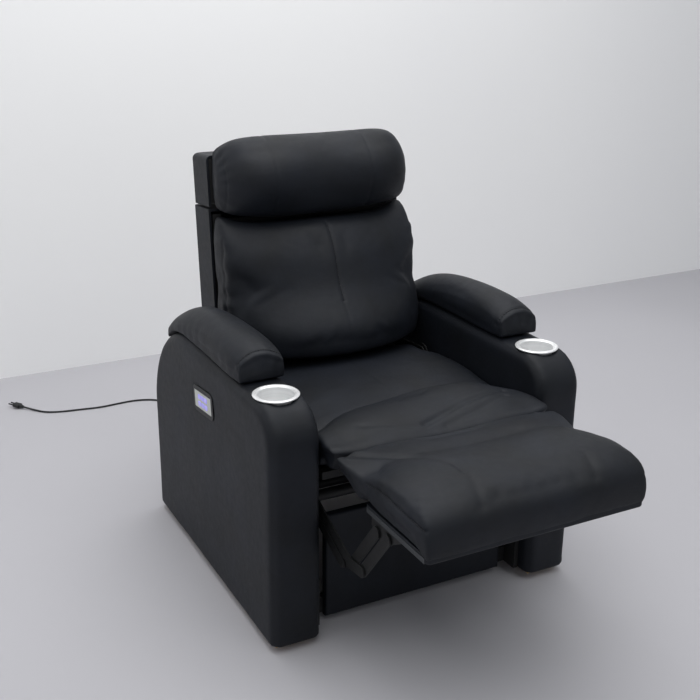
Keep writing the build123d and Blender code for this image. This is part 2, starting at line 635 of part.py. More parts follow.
def front_pad_side(drop):
    """Side view of the front pad: a round nose about the knee axis and an arched top."""
    nose = NOSE_RADIUS - drop / 2
    centre = (KNEE_AHEAD, KNEE_HEIGHT - drop / 2)
    relief = around(centre, nose, -155)
    top_front = around(centre, nose, 90)
    rear = depth(FRONT_PAD_BACK)
    step = ahead((-SEAT_BOARD_FRONT + CUSHION_GAP, 0))[0]
    with BuildLine() as outline:
        Polyline(relief, (step, relief[1]), (step, CUSHION_LOW), (rear, CUSHION_LOW), (rear, SEAT_CROWN - drop - 6))
        ThreePointArc(
            (rear, SEAT_CROWN - drop - 6), ((rear + top_front[0]) / 2, FRONT_PAD_CROWN - drop), top_front
        )
        ThreePointArc(top_front, around(centre, nose, 35), around(centre, nose, -30))
        ThreePointArc(around(centre, nose, -30), around(centre, nose, -90), relief)
    make_face(outline.edges())


def across_loft(half, side_drop, draw):
    """Loft a side view outline over the width, lower towards both side seams."""
    profiles = []
    for x, drop in ((-1.0, 1.0), (-0.87, 0.22), (0.0, 0.0), (0.87, 0.22), (1.0, 1.0)):
        with BuildSketch(side_view(x * half)) as profile:
            draw(drop * side_drop)
        profiles.append(profile.sketch)
    loft(profiles)


with BuildPart() as front_pad:
    across_loft(FRONT_PAD_HALF, PAD_SIDE_DROP, front_pad_side)
save(front_pad, "front_pad")


# ================================================================ footrest
def calf_side(drop):
    """Side view of the calf pad: hollow near end about the knee axis, flat below."""
    hollow = NOSE_RADIUS + KNEE_GAP
    upper, lower = around(KNEE, hollow, 38 - drop), around(KNEE, hollow, -54)
    far_top = ahead((CALF_FAR, CALF_TOP - drop))
    with BuildLine() as outline:
        ThreePointArc(upper, around(KNEE, hollow, -12), lower)
        Polyline(lower, ahead((CALF_FAR, BOARD_LOW + 2)), far_top)
        ThreePointArc(far_top, ahead(((CALF_FAR + 50) / 2, (CALF_TOP + 478) / 2 + 3 - drop)), upper)
    make_face(outline.edges())


with BuildPart() as calf_pad:
    across_loft(CALF_HALF, PAD_SIDE_DROP, calf_side)
save(calf_pad, "calf_pad")


def bolster_side(drop):
    """Side view of the footrest's bolster: crowned top that rolls over the far end."""
    low = BOARD_LOW + BOARD_THICKNESS + CUSHION_GAP
    crown, near = BOLSTER_CROWN - drop, CALF_FAR + CUSHION_GAP
    near_top = ahead((near, CALF_TOP - drop * PAD_SIDE_DROP / BOLSTER_SIDE_DROP))
    shoulder = ahead((BOLSTER_FAR - 28, crown - 16))
    tip = ahead((BOLSTER_FAR - 1, low + 18))
    with BuildLine() as outline:
        Polyline(tip, ahead((BOLSTER_FAR - 5, low)), ahead((near, low)), near_top)
        ThreePointArc(near_top, ahead(((near + BOLSTER_FAR) / 2 - 8, crown)), shoulder)
        ThreePointArc(shoulder, ahead((BOLSTER_FAR - 4 - drop / 4, crown - 42)), tip)
    make_face(outline.edges())


with BuildPart() as footrest_cushion:
    across_loft(BOLSTER_HALF, BOLSTER_SIDE_DROP, bolster_side)
save(footrest_cushion, "footrest_cushion")

with BuildPart() as footrest_board:
    slab(
        (-BOARD_HALF, BOARD_HALF), (ahead((BOARD_FAR, 0))[0], ahead((BOARD_NEAR, 0))[0]),
        (BOARD_LOW, BOARD_LOW + BOARD_THICKNESS),
    )
    fillet(footrest_board.edges().filter_by(Axis.Z), BOARD_ROUND * 2)
    fillet(footrest_board.edges().group_by(Axis.Z)[0], BOARD_ROUND)
save(footrest_board, "footrest_board")


def bracket_outline():
    """Hanging flange of a footrest bracket, round at its two pivots."""
    near, far = shifted(BRACKET_PIVOT, (-24, 0)), shifted(OUTER_END, (30, 0))
    with BuildLine() as outline:
        Polyline(
            ahead((near[0], BOARD_LOW)), ahead((near[0], BRACKET_PIVOT[1] + 6)),
            ahead(shifted(BRACKET_PIVOT, (0, -LINK_WIDTH / 2))),
            ahead(shifted(OUTER_END, (0, -LINK_WIDTH / 2))), ahead((far[0] + 30, BOARD_LOW)), close=True,
        )
    make_face(outline.edges())
    with Locations(ahead(BRACKET_PIVOT), ahead(OUTER_END)):
        Circle(LINK_WIDTH / 2)


with BuildPart() as footrest_brackets:
    for side in SIDES:
        with BuildSketch(side_view(side * layer(3))):
            bracket_outline()
            holes([ahead(BRACKET_PIVOT), ahead(OUTER_END)], RIVET_RADIUS)
            # flush with the board's underside
            with BuildLine():
                Polyline(
                    ahead((BOARD_NEAR, BOARD_LOW)), ahead((BOARD_NEAR, BOARD_LOW + 40)),
                    ahead((BOARD_FAR, BOARD_LOW + 40)), ahead((BOARD_FAR, BOARD_LOW)), close=True,
                )
            make_face(mode=Mode.SUBTRACT)
        extrude(amount=STEEL / 2, both=True)
        flange_x = sorted((side * (layer(3) + STEEL / 2), side * (layer(3) - BRACKET_FLANGE)))
        slab(
            flange_x, (ahead((OUTER_END[0] + 60, 0))[0], ahead((BRACKET_PIVOT[0] - 24, 0))[0]),
            (BOARD_LOW - STEEL, BOARD_LOW),
        )
save(footrest_brackets, "footrest_brackets")


def links(number, corners, tight, loose):
    """A pair of links, left and right, in one layer; tight holes hold rivets, loose ones turn."""
    for side in SIDES:
        with BuildSketch(side_view(side * layer(number))) as profile:
            for start, end in zip(corners, corners[1:]):
                bar(ahead(start), ahead(end), LINK_WIDTH)
            for point, radius in tight:
                holes([ahead(point)], radius)
            for point, radius in loose:
                holes([ahead(point)], radius + RUNNING)
        extrude(profile.sketch, amount=STEEL / 2, both=True)


def rivets(first, second, points):
    """Rivets through two layers, with a collar that keeps the layers apart."""
    reach = abs(layer(first) - layer(second)) / 2 + STEEL / 2
    for side in SIDES:
        for point in points:
            disc(side * (layer(first) + layer(second)) / 2, ahead(point), RIVET_RADIUS, reach)
            disc(side * (layer(first) + layer(second)) / 2, ahead(point), RIVET_COLLAR, LAYER_GAP / 2 - RUNNING)


with BuildPart() as drive_links:
    links(1, [DRIVE_PIVOT, ELBOW, OUTER_ELBOW], [(DRIVE_PIVOT, TUBE_RADIUS), (ELBOW, RIVET_RADIUS),
                                                 (OUTER_ELBOW, RIVET_RADIUS)], [])
    for side in SIDES:
        with BuildSketch(side_view(side * layer(1))):
            with Locations(ahead(DRIVE_PIVOT)):
                Circle(TUBE_RADIUS + 5)
                Circle(TUBE_RADIUS, mode=Mode.SUBTRACT)
        extrude(amount=STEEL / 2, both=True)
save(drive_links, "drive_links")

with BuildPart() as drive_rivets:
    rivets(1, 2, [ELBOW, OUTER_ELBOW])
save(drive_rivets, "drive_rivets")

with BuildPart() as guide_links:
    links(1, [GUIDE_PIVOT, GUIDE_END], [(GUIDE_PIVOT, RIVET_RADIUS), (GUIDE_END, RIVET_RADIUS)], [])
save(guide_links, "guide_links")

with BuildPart() as guide_rivets:
    rivets(0, 1, [GUIDE_PIVOT])
    rivets(1, 2, [GUIDE_END])
save(guide_rivets, "guide_rivets")

with BuildPart() as lift_links:
    links(2, [GUIDE_END, ELBOW, BRACKET_PIVOT], [(GUIDE_END, RIVET_RADIUS + OPEN_PIVOT)],
          [(ELBOW, RIVET_RADIUS), (BRACKET_PIVOT, RIVET_RADIUS)])
save(lift_links, "lift_links")

with BuildPart() as outer_links:
    links(2, [OUTER_ELBOW, OUTER_END], [(OUTER_END, RIVET_RADIUS + OPEN_PIVOT)], [(OUTER_ELBOW, RIVET_RADIUS)])
save(outer_links, "outer_links")

with BuildPart() as bracket_rivets:
    rivets(2, 3, [BRACKET_PIVOT, OUTER_END])
save(bracket_rivets, "bracket_rivets")


def pin_slot(hub, pin, crank, half_width):
    """Slot for a pin that stands at its far end, and at crank from the hub at mid travel."""
    run, rise = pin[0] - hub[0], pin[1] - hub[1]
    far = hypot(run, rise)
    middle = (far + crank) / 2 / far
    with Locations((hub[0] + run * middle, hub[1] + rise * middle)):
        SlotCenterToCenter(
            far - crank + 2, 2 * half_width, rotation=degrees(atan2(rise, run)), mode=Mode.SUBTRACT
        )


LIFT_HEIGHT = DRIVE_PIVOT[1] + LIFT_CRANK
LIFT_STROKE = 2 * LIFT_CRANK * tan(radians(SWING / 2))
LIFT_PIN = (ahead(DRIVE_PIVOT)[0] + LIFT_STROKE / 2, LIFT_HEIGHT)
LIFT_TAIL = (depth(REAR_TUBE_BACK), LIFT_HEIGHT)
# the lift rod's pin runs on a straight line, so the slot takes up the crank's arc
with BuildPart() as drive_tube:
    with BuildSketch(side_view(0)):
        with Locations(ahead(DRIVE_PIVOT)):
            Circle(TUBE_RADIUS)
            Circle(TUBE_RADIUS - TUBE_WALL, mode=Mode.SUBTRACT)
    extrude(amount=PLATE_X + STEEL / 2, both=True)
    with BuildSketch(side_view(LIFT_X)):
        bar(ahead(DRIVE_PIVOT), LIFT_PIN, 26)
        holes([ahead(DRIVE_PIVOT)], TUBE_RADIUS)
        pin_slot(ahead(DRIVE_PIVOT), LIFT_PIN, LIFT_CRANK, CRANK_SLOT)
    extrude(amount=4, both=True)
save(drive_tube, "drive_tube")


# ================================================================ actuators
def actuator_axes(origin, direction):
    """Plane whose normal is the rod's direction, and whose local X is the chair's X."""
    return Plane(origin=origin, x_dir=(1, 0, 0), z_dir=direction)


def actuator_body(axes, length, motor_side):
    """Gearbox, guide tube and tail lug, with the motor beside the guide tube."""
    width, height, gear = GEARBOX
    with BuildSketch(axes) as profile:
        RectangleRounded(width, height, 8)
    extrude(profile.sketch, amount=gear)
    with BuildSketch(axes.offset(gear)) as profile:
        Circle(ROD_TUBE_RADIUS + 4)
    extrude(profile.sketch, amount=12)
    with BuildSketch(axes.offset(gear)) as profile:
        Circle(ROD_TUBE_RADIUS)
    extrude(profile.sketch, amount=length - gear)
    with BuildSketch(axes.offset(gear)) as profile:
        Circle(ROD_RADIUS + RUNNING)
    extrude(profile.sketch, amount=length - gear, mode=Mode.SUBTRACT)
    with BuildSketch(axes.offset(gear)) as profile:
        with Locations((motor_side * (MOTOR_RADIUS + ROD_TUBE_RADIUS + 6), 0)):
            Circle(MOTOR_RADIUS)
    extrude(profile.sketch, amount=gear * 1.3)
    with BuildSketch(axes.offset(gear - 12)) as profile:
        with Locations((motor_side * (MOTOR_RADIUS + ROD_TUBE_RADIUS + 6) / 1.4, 0)):
            Rectangle(MOTOR_RADIUS * 2.6, MOTOR_RADIUS * 1.8)
    extrude(profile.sketch, amount=12)


def tail_fork(x, pin, direction, reach):
    """Fork behind a gearbox that straddles a 8 mm lug, holed for its pin."""
    for side in SIDES:
        with BuildSketch(side_view(x + side * 8)) as profile:
            bar(pin, (pin[0] + direction * reach, pin[1]), 22)
            holes([pin], PIN_RADIUS)
        extrude(profile.sketch, amount=2.5, both=True)
    disc(x, pin, PIN_RADIUS, FORK_HALF)


def rod_fork(x, pin, direction, length):
    """Rod with a fork on its end; the fork's pin is a solid of its own."""
    start = pin[0] - direction * ROD_FORK
    with BuildSketch(Plane(origin=(x, start, pin[1]), x_dir=(1, 0, 0), z_dir=(0, -direction, 0))) as profile:
        Circle(ROD_RADIUS)
    extrude(profile.sketch, amount=length)
    slab((x - FORK_HALF, x + FORK_HALF), sorted((start, start + direction * 10)), (pin[1] - 9, pin[1] + 9))
    for side in SIDES:
        with BuildSketch(side_view(x + side * 8)) as profile:
            bar((start + direction * 9, pin[1]), pin, 18)
            holes([pin], PIN_RADIUS)
        extrude(profile.sketch, amount=2.5, both=True)


with BuildPart() as lift_motor:
    tail = LIFT_TAIL[0] - 34
    actuator_body(
        actuator_axes((LIFT_X, tail, LIFT_HEIGHT), (0, -1, 0)), tail - LIFT_PIN[0] - ROD_FORK - 10, 1
    )
    tail_fork(LIFT_X, LIFT_TAIL, -1, 36)
save(lift_motor, "lift_motor")

with BuildPart() as lift_rod:
    rod_fork(LIFT_X, LIFT_PIN, -1, LIFT_STROKE + 60)
    disc(LIFT_X, LIFT_PIN, PIN_RADIUS, FORK_HALF)
save(lift_rod, "lift_rod")

BACK_STROKE = 2 * BACK_CRANK * tan(radians(BACK_SWING / 2))
BACK_PIN = (HINGE[0] + BACK_STROKE / 2, BACK_HEIGHT)
BACK_TAIL = (depth(FRONT_TUBE_BACK), BACK_HEIGHT)
with BuildPart() as back_motor:
    tail = BACK_TAIL[0] + 34
    actuator_body(
        actuator_axes((BACK_X, tail, BACK_HEIGHT), (0, 1, 0)),
        BACK_PIN[0] - BACK_STROKE - tail - ROD_FORK - 10, -1,
    )
    tail_fork(BACK_X, BACK_TAIL, 1, 36)
save(back_motor, "back_motor")

with BuildPart() as back_rod:
    gearbox_end = BACK_TAIL[0] + 34 + GEARBOX[2]
    rod_fork(BACK_X, BACK_PIN, 1, BACK_PIN[0] - ROD_FORK - gearbox_end - BACK_STROKE - ROD_END_GAP)
    disc(BACK_X, BACK_PIN, PIN_RADIUS, FORK_HALF)
save(back_rod, "back_rod")

# ================================================================ back
POST_X = layer(1) - STEEL / 2 - FIT - BACK_FRAME_RAIL / 2


def back_strip(behind, thickness, low, high):
    """Side view of a straight piece of the back, in the current sketch."""
    corners = ((behind, low), (behind + thickness, low), (behind + thickness, high), (behind, high))
    with BuildLine() as outline:
        Polyline(*[back_point(*corner) for corner in corners], close=True)
    make_face(outline.edges())


BACK_RAILS = ((-10.0, 45.0), (196.0, 236.0), (350.0, 395.0))     # low and high of each cross rail
with BuildPart() as back_frame:
    for side in SIDES:
        with BuildSketch(side_view(side * POST_X)):
            back_strip(BACK_FRAME_FRONT, BACK_FRAME_THICKNESS, -30, 410)
        extrude(amount=BACK_FRAME_RAIL / 2, both=True)
    for low, high in BACK_RAILS:
        with BuildSketch(side_view(0)):
            back_strip(BACK_FRAME_FRONT, BACK_FRAME_RAIL, low, high)
        extrude(amount=POST_X, both=True)
    # steel arm that the back's actuator pushes
    with BuildSketch(side_view(BACK_X)):
        bar(back_point(BACK_FRAME_FRONT, 5), BACK_PIN, 26)
        pin_slot(HINGE, BACK_PIN, BACK_CRANK, PIN_RADIUS + 1)
    extrude(amount=4, both=True)
save(back_frame, "back_frame")

BACK_PLANE = Plane(
    origin=(0, *back_point(BACK_FRAME_FRONT + 10, 0)), x_dir=(1, 0, 0),
    z_dir=(0, -cos(radians(BACK_TILT)), sin(radians(BACK_TILT))),
)
with BuildPart() as back_springs:
    for number in range(SPRING_COUNT):
        spring_x = (number - (SPRING_COUNT - 1) / 2) * spring_pitch
        for lower, upper in zip(BACK_RAILS, BACK_RAILS[1:]):
            with BuildSketch(BACK_PLANE):
                zigzag(spring_x, lower[1], upper[0], BACK_SPRING_WAVES, spring_pitch * 0.28)
            extrude(amount=SPRING_WIRE)
save(back_springs, "back_springs")

with BuildPart() as back_hinge_brackets:
    for side in SIDES:
        with BuildSketch(side_view(side * layer(1))):
            corner = back_point(BACK_FRAME_FRONT + BACK_FRAME_THICKNESS / 2, 0)
            bar(HINGE, corner, 40)
            bar(corner, back_point(BACK_FRAME_FRONT + BACK_FRAME_THICKNESS / 2, 170), 40)
            holes([HINGE], HINGE_RADIUS + RUNNING)
        extrude(amount=STEEL / 2, both=True)
save(back_hinge_brackets, "back_hinge_brackets")

with BuildPart() as back_pivot_bolts:
    for side in SIDES:
        disc(side * (PLATE_X + layer(1)) / 2, HINGE, HINGE_RADIUS, (PLATE_X - layer(1)) / 2 + STEEL / 2 + 1)
        disc(side * (PLATE_X + layer(1)) / 2, HINGE, 2 * HINGE_RADIUS, LAYER_GAP / 2 - RUNNING)
        for face, direction in ((PLATE_X + STEEL / 2, 1), (layer(1) - STEEL / 2 - 1, -1)):
            with BuildSketch(side_view(side * face)):
                with Locations(HINGE):
                    RegularPolygon(1.8 * HINGE_RADIUS, 6)
            extrude(amount=side * direction * 5)
save(back_pivot_bolts, "back_pivot_bolts")


def shell_outline(inset, low, high, rear_low, rear_high, front):
    """Side view of a back cover: open front edge, sloped rear, drawn in by the inset."""
    with BuildLine() as outline:
        Polyline(
            back_point(front, low), back_point(rear_low - inset, low),
            back_point(rear_high - inset, high - inset), back_point(front, high - inset), close=True,
        )
    make_face(outline.edges())


with BuildPart() as back_shell:
    with BuildSketch(side_view(0)):
        shell_outline(0, BACK_SHELL_LOW, BACK_SHELL_HIGH, BACK_SHELL_REAR_LOW, BACK_SHELL_REAR_HIGH,
                      BACK_FRAME_FRONT)
    extrude(amount=BACK_HALF, both=True)
    rear = back_shell.faces().sort_by(Axis.Y)[-1]
    fillet(rear.edges().filter_by(lambda edge: abs(edge.center().X) > BACK_HALF / 2), BACK_SHELL_ROUND)
    with BuildSketch(side_view(0)):
        shell_outline(BACK_SHELL_WALL, BACK_SHELL_LOW, BACK_SHELL_HIGH, BACK_SHELL_REAR_LOW,
                      BACK_SHELL_REAR_HIGH, BACK_FRAME_FRONT)
    extrude(amount=BACK_HALF - BACK_SHELL_WALL, both=True, mode=Mode.SUBTRACT)
    # slots in the closed top for the headrest's hinges and its rod
    with BuildSketch(back_axes(0, BACK_SHELL_HIGH - 2 * BACK_SHELL_WALL)):
        with Locations(*[(side * HEAD_HINGE_X, HEAD_PIVOT_BACK) for side in SIDES]):
            Rectangle(20, 24)
        with Locations((0, HEAD_PIN[0])):
            Rectangle(2 * FORK_HALF + 6, 26)
    extrude(amount=3 * BACK_SHELL_WALL, mode=Mode.SUBTRACT)
save(back_shell, "back_shell")

# heights up the back, and how far the cushion's middle and sides stand ahead of its frame
BACK_CUSHION_FORM = (
    (0.0, 235.0, 120.0, 0.97), (0.12, 242.0, 128.0, 1.0), (0.38, 196.0, 112.0, 1.0),
    (0.68, 150.0, 98.0, 1.0), (0.86, 122.0, 84.0, 1.0), (0.93, 88.0, 58.0, 0.99), (1.0, 18.0, 14.0, 0.98),
)
with BuildPart() as back_cushion:
    for share, middle_stand, side_stand, width in BACK_CUSHION_FORM:
        up = BACK_CUSHION_LOW + share * (BACK_CUSHION_TOP - BACK_CUSHION_LOW)
        with BuildSketch(back_axes(0, up)):
            half, rear = BACK_CUSHION_HALF * width, BACK_FRAME_FRONT - CUSHION_GAP
            with BuildLine():
                Polyline((-half, rear - side_stand), (-half, rear), (half, rear), (half, rear - side_stand))
                ThreePointArc(
                    (half, rear - side_stand), (0, rear - middle_stand), (-half, rear - side_stand)
                )
            make_face()
    loft()
save(back_cushion, "back_cushion")

# ================================================================ headrest
HEAD_LOW = BACK_SHELL_HIGH + HEAD_GAP
HEAD_HINGE = back_point(HEAD_PIVOT_BACK, HEAD_PIVOT_UP)
with BuildPart() as headrest_shell:
    with BuildSketch(side_view(0)):
        shell_outline(0, HEAD_LOW, HEAD_HIGH, BACK_SHELL_REAR_HIGH, BACK_SHELL_REAR_HIGH, BACK_FRAME_FRONT)
    extrude(amount=BACK_HALF - 2, both=True)
    rear = headrest_shell.faces().sort_by(Axis.Y)[-1]
    fillet(rear.edges().filter_by(lambda edge: abs(edge.center().X) > BACK_HALF / 2), BACK_SHELL_ROUND)
    top_side = headrest_shell.faces().sort_by(Axis.Z)[-1].edges()
    fillet(top_side.filter_by(lambda edge: edge.center().Y > HEAD_HINGE[0] + 20), BACK_SHELL_ROUND / 2)
    with BuildSketch(side_view(0)):
        shell_outline(BACK_SHELL_WALL, HEAD_LOW, HEAD_HIGH, BACK_SHELL_REAR_HIGH, BACK_SHELL_REAR_HIGH,
                      BACK_FRAME_FRONT)
    extrude(amount=BACK_HALF - 2 - BACK_SHELL_WALL, both=True, mode=Mode.SUBTRACT)
save(headrest_shell, "headrest_shell")

with BuildPart() as headrest_frame:
    with BuildSketch(side_view(0)):
        back_strip(BACK_FRAME_FRONT, HEAD_BOARD, HEAD_LOW + 8, HEAD_HIGH - BACK_SHELL_WALL - 2)
    extrude(amount=BACK_HALF - 2 - BACK_SHELL_WALL - CUSHION_GAP, both=True)
    for side in SIDES:
        with BuildSketch(side_view(side * HEAD_HINGE_X)):
            back_strip(BACK_FRAME_FRONT - 1, HEAD_BOARD + 2, HEAD_LOW, HEAD_PIVOT_UP + 24)
        extrude(amount=14, both=True, mode=Mode.SUBTRACT)
        for ear in (-1, 1):
            with BuildSketch(side_view(side * HEAD_HINGE_X + ear * 12)):
                with Locations(HEAD_HINGE):
                    Circle(9)
                bar(HEAD_HINGE, back_point(HEAD_PIVOT_BACK, HEAD_PIVOT_UP + 28), 14)
                holes([HEAD_HINGE], HINGE_RADIUS)
            extrude(amount=2, both=True)
    with BuildSketch(side_view(0)):
        bar(back_point(BACK_FRAME_FRONT + HEAD_BOARD, HEAD_PIVOT_UP - HEAD_STROKE / 2),
            back_point(HEAD_PIN[0] + 4, HEAD_PIN[1]), 24)
        pin_slot(HEAD_HINGE, back_point(*HEAD_PIN), HEAD_CRANK, PIN_RADIUS + 1)
    extrude(amount=3, both=True)
save(headrest_frame, "headrest_frame")

with BuildPart() as headrest_hinges:
    for side in SIDES:
        with BuildSketch(side_view(side * HEAD_HINGE_X)):
            bar(back_point(HEAD_PIVOT_BACK + 2, BACK_RAILS[2][0] + 18), HEAD_HINGE, 18)
            holes([HEAD_HINGE], HINGE_RADIUS + RUNNING)
            with BuildLine():
                Polyline(
                    back_point(BACK_FRAME_FRONT - 1, BACK_RAILS[2][0] - 20),
                    back_point(BACK_FRAME_FRONT + BACK_FRAME_RAIL, BACK_RAILS[2][0] - 20),
                    back_point(BACK_FRAME_FRONT + BACK_FRAME_RAIL, BACK_RAILS[2][1]),
                    back_point(BACK_FRAME_FRONT - 1, BACK_RAILS[2][1]), close=True,
                )
            make_face(mode=Mode.SUBTRACT)
        extrude(amount=8, both=True)
save(headrest_hinges, "headrest_hinges")

with BuildPart() as headrest_pins:
    for side in SIDES:
        disc(side * HEAD_HINGE_X, HEAD_HINGE, HINGE_RADIUS, 14)
save(headrest_pins, "headrest_pins")


HEAD_MOTOR_LOW, HEAD_MOTOR_HIGH = 205.0, 412.0
with BuildPart() as headrest_motor:
    actuator_body(back_axes(HEAD_PIN[0], HEAD_MOTOR_LOW), HEAD_MOTOR_HIGH - HEAD_MOTOR_LOW, 1)
    with BuildSketch(side_view(0)):
        back_strip(BACK_FRAME_FRONT + BACK_FRAME_RAIL, HEAD_CRANK - 20, HEAD_MOTOR_LOW + 2, HEAD_MOTOR_LOW + 28)
    extrude(amount=20, both=True)
save(headrest_motor, "headrest_motor")

HEAD_ROD, HEAD_FORK = 120.0, 29.0
with BuildPart() as headrest_rod:
    with BuildSketch(back_axes(HEAD_PIN[0], HEAD_PIN[1] - HEAD_ROD)):
        Circle(ROD_RADIUS)
    extrude(amount=HEAD_ROD - HEAD_FORK)
    with BuildSketch(back_axes(HEAD_PIN[0], HEAD_PIN[1] - HEAD_FORK)):
        Rectangle(2 * FORK_HALF, 18)
    extrude(amount=8)
    for side in SIDES:
        with BuildSketch(side_view(side * 8)):
            bar(back_point(HEAD_PIN[0], HEAD_PIN[1] - HEAD_FORK + 9), back_point(*HEAD_PIN), 16)
            holes([back_point(*HEAD_PIN)], PIN_RADIUS)
        extrude(amount=2.5, both=True)
    disc(0, back_point(*HEAD_PIN), PIN_RADIUS, FORK_HALF)
save(headrest_rod, "headrest_rod")

HEAD_CUSHION_LOW, HEAD_CUSHION_HIGH = 407.0, 590.0
HEAD_CUSHION_STAND = 148.0
# place across, share of the full stand, and how much lower and higher the edges are
HEAD_BOLSTER_FORM = (
    (-1.0, 0.34, 20.0), (-0.93, 0.70, 7.0), (-0.80, 0.94, 1.0), (0.0, 1.0, 0.0),
    (0.80, 0.94, 1.0), (0.93, 0.70, 7.0), (1.0, 0.34, 20.0),
)


def head_bolster_side(stand, drawn):
    """Side view of the head bolster, whose lower rear clears the back when the headrest tilts."""
    rear, front = BACK_FRAME_FRONT - CUSHION_GAP, BACK_FRAME_FRONT - stand
    low, high = HEAD_CUSHION_LOW + drawn, HEAD_CUSHION_HIGH - drawn
    bend, heel = HEAD_PIVOT_UP + 4, low + 5
    low_rear = (rear - (bend - heel) * tan(radians(HEAD_SWING + 2)), heel)
    low_front, high_front = (front + 0.19 * stand, low + 0.18 * stand), (front + 0.23 * stand, high - 0.12 * stand)
    with BuildLine() as outline:
        Polyline(back_point(rear, high), back_point(rear, bend), back_point(*low_rear))
        ThreePointArc(
            back_point(*low_rear), back_point((low_rear[0] + low_front[0]) / 2, low), back_point(*low_front)
        )
        ThreePointArc(
            back_point(*low_front), back_point(front, (low + high) / 2 - 6), back_point(*high_front)
        )
        ThreePointArc(
            back_point(*high_front), back_point(rear - 0.4 * stand, high + 0.1 * stand), back_point(rear, high)
        )
    make_face(outline.edges())


with BuildPart() as headrest_bolster:
    for place, share, drawn in HEAD_BOLSTER_FORM:
        with BuildSketch(side_view(place * BOLSTER_HEAD_HALF)):
            head_bolster_side(share * HEAD_CUSHION_STAND, drawn)
    loft()
save(headrest_bolster, "headrest_bolster")

# ================================================================ power supply and mains cord
with BuildPart() as power_supply:
    slab((CORD_X - 60, CORD_X + 60), (depth(rear_rail - 52), depth(rear_rail)), (40, 88))
    fillet(power_supply.edges().filter_by(Axis.Z), 5)
save(power_supply, "power_supply")

GLAND_FACE = depth(REAR_FACE)
with BuildPart() as cord_gland:
    with BuildSketch(Plane(origin=(CORD_X, GLAND_FACE - REAR_PANEL_THICKNESS + 1, CORD_HEIGHT),
                           x_dir=(1, 0, 0), z_dir=(0, 1, 0))):
        Circle(CORD_DIAMETER + 2 - FIT)
    extrude(amount=REAR_PANEL_THICKNESS - 1)
    gland_plane = Plane(origin=(CORD_X, GLAND_FACE, CORD_HEIGHT), x_dir=(1, 0, 0), z_dir=(0, 1, 0))
    with BuildSketch(gland_plane):
        Circle(CORD_DIAMETER + 5)
    extrude(amount=3)
    with BuildSketch(gland_plane.offset(3)):
        Circle(CORD_DIAMETER + 1)
    with BuildSketch(gland_plane.offset(GLAND_LENGTH)):
        Circle(CORD_DIAMETER * 0.7)
    loft()
save(cord_gland, "cord_gland")

FLOOR = CORD_DIAMETER / 2
PLUG_REST = PLUG_HEIGHT / 2
CORD_ROUTE = [
    (CORD_X, REAR_FACE + GLAND_LENGTH, CORD_HEIGHT), (CORD_X, REAR_FACE + 70, CORD_HEIGHT),
    (CORD_X - 1, REAR_FACE + 120, 36), (CORD_X - 6, REAR_FACE + 176, 9), (-134, 1030, FLOOR),
    (-132, 1105, FLOOR), (-120, 1180, FLOOR), (-116, 1258, FLOOR), (-126, 1334, FLOOR),
    (-133, 1404, FLOOR), (-144, 1468, FLOOR), (-180, 1518, FLOOR), (-240, 1541, FLOOR),
    (-305, 1538, FLOOR), (-366, 1532, FLOOR), (-430, 1544, FLOOR), (-490, 1552, FLOOR),
    (-540, 1570, FLOOR), (-572, 1606, FLOOR + 1), (-600, 1638, PLUG_REST),
]
CORD_ROUTE = [(x, depth(back), z) for x, back, z in CORD_ROUTE]


def corner_radii(points):
    """For each corner of the route, the largest arc that its two runs allow."""
    radii = []
    for before, corner, after in zip(points, points[1:], points[2:]):
        first, second = Vector(*corner) - Vector(*before), Vector(*after) - Vector(*corner)
        turn = radians(first.get_angle(second))
        radii.append(0.45 * min(first.length, second.length) / tan(turn / 2))
    return radii


ARCS = corner_radii(CORD_ROUTE)
print("cord arc radii:", [round(radius) for radius in ARCS])
with BuildPart() as mains_cord:
    with BuildLine() as cord_path:
        FilletPolyline(*CORD_ROUTE, radius=ARCS)
    start = cord_path.line @ 0
    with BuildSketch(Plane(origin=start, x_dir=(1, 0, 0), z_dir=cord_path.line % 0)):
        Circle(CORD_DIAMETER / 2)
    sweep(path=cord_path.line)
save(mains_cord, "mains_cord")
cord_length = sum(edge.length for edge in cord_path.edges())
section_area = 3.14159265 * CORD_DIAMETER ** 2 / 4
print("cord length:", round(cord_length, 1), "volume over section x length:",
      round(mains_cord.part.volume / (section_area * cord_length), 4))

PLUG_START = Vector(*CORD_ROUTE[-1])
PLUG_WAY = (Vector(*CORD_ROUTE[-1]) - Vector(*CORD_ROUTE[-2])).normalized()
plug_plane = Plane(origin=PLUG_START, x_dir=Vector(-PLUG_WAY.Y, PLUG_WAY.X, 0).normalized(), z_dir=PLUG_WAY)
with BuildPart() as mains_plug:
    with BuildSketch(plug_plane):
        Circle(CORD_DIAMETER * 0.75)
    with BuildSketch(plug_plane.offset(14)):
        RectangleRounded(PLUG_WIDTH * 0.7, PLUG_HEIGHT * 0.7, 4)
    loft()
    with BuildSketch(plug_plane.offset(14)):
        RectangleRounded(PLUG_WIDTH, PLUG_HEIGHT - 4, 5)
    extrude(amount=PLUG_LENGTH - 14)
    with BuildSketch(plug_plane.offset(PLUG_LENGTH)):
        with GridLocations(PLUG_PIN_PITCH, 1, 2, 1):
            Circle(PLUG_PIN_RADIUS)
    extrude(amount=PLUG_PIN_LENGTH)
save(mains_plug, "mains_plug")
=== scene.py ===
"""A powered cinema recliner seat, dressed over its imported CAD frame."""

import logging
import math
from dataclasses import dataclass, field
from enum import Enum

import bmesh
import bpy
import numpy as np
from mathutils import Matrix, Vector, noise
from mathutils.bvhtree import BVHTree


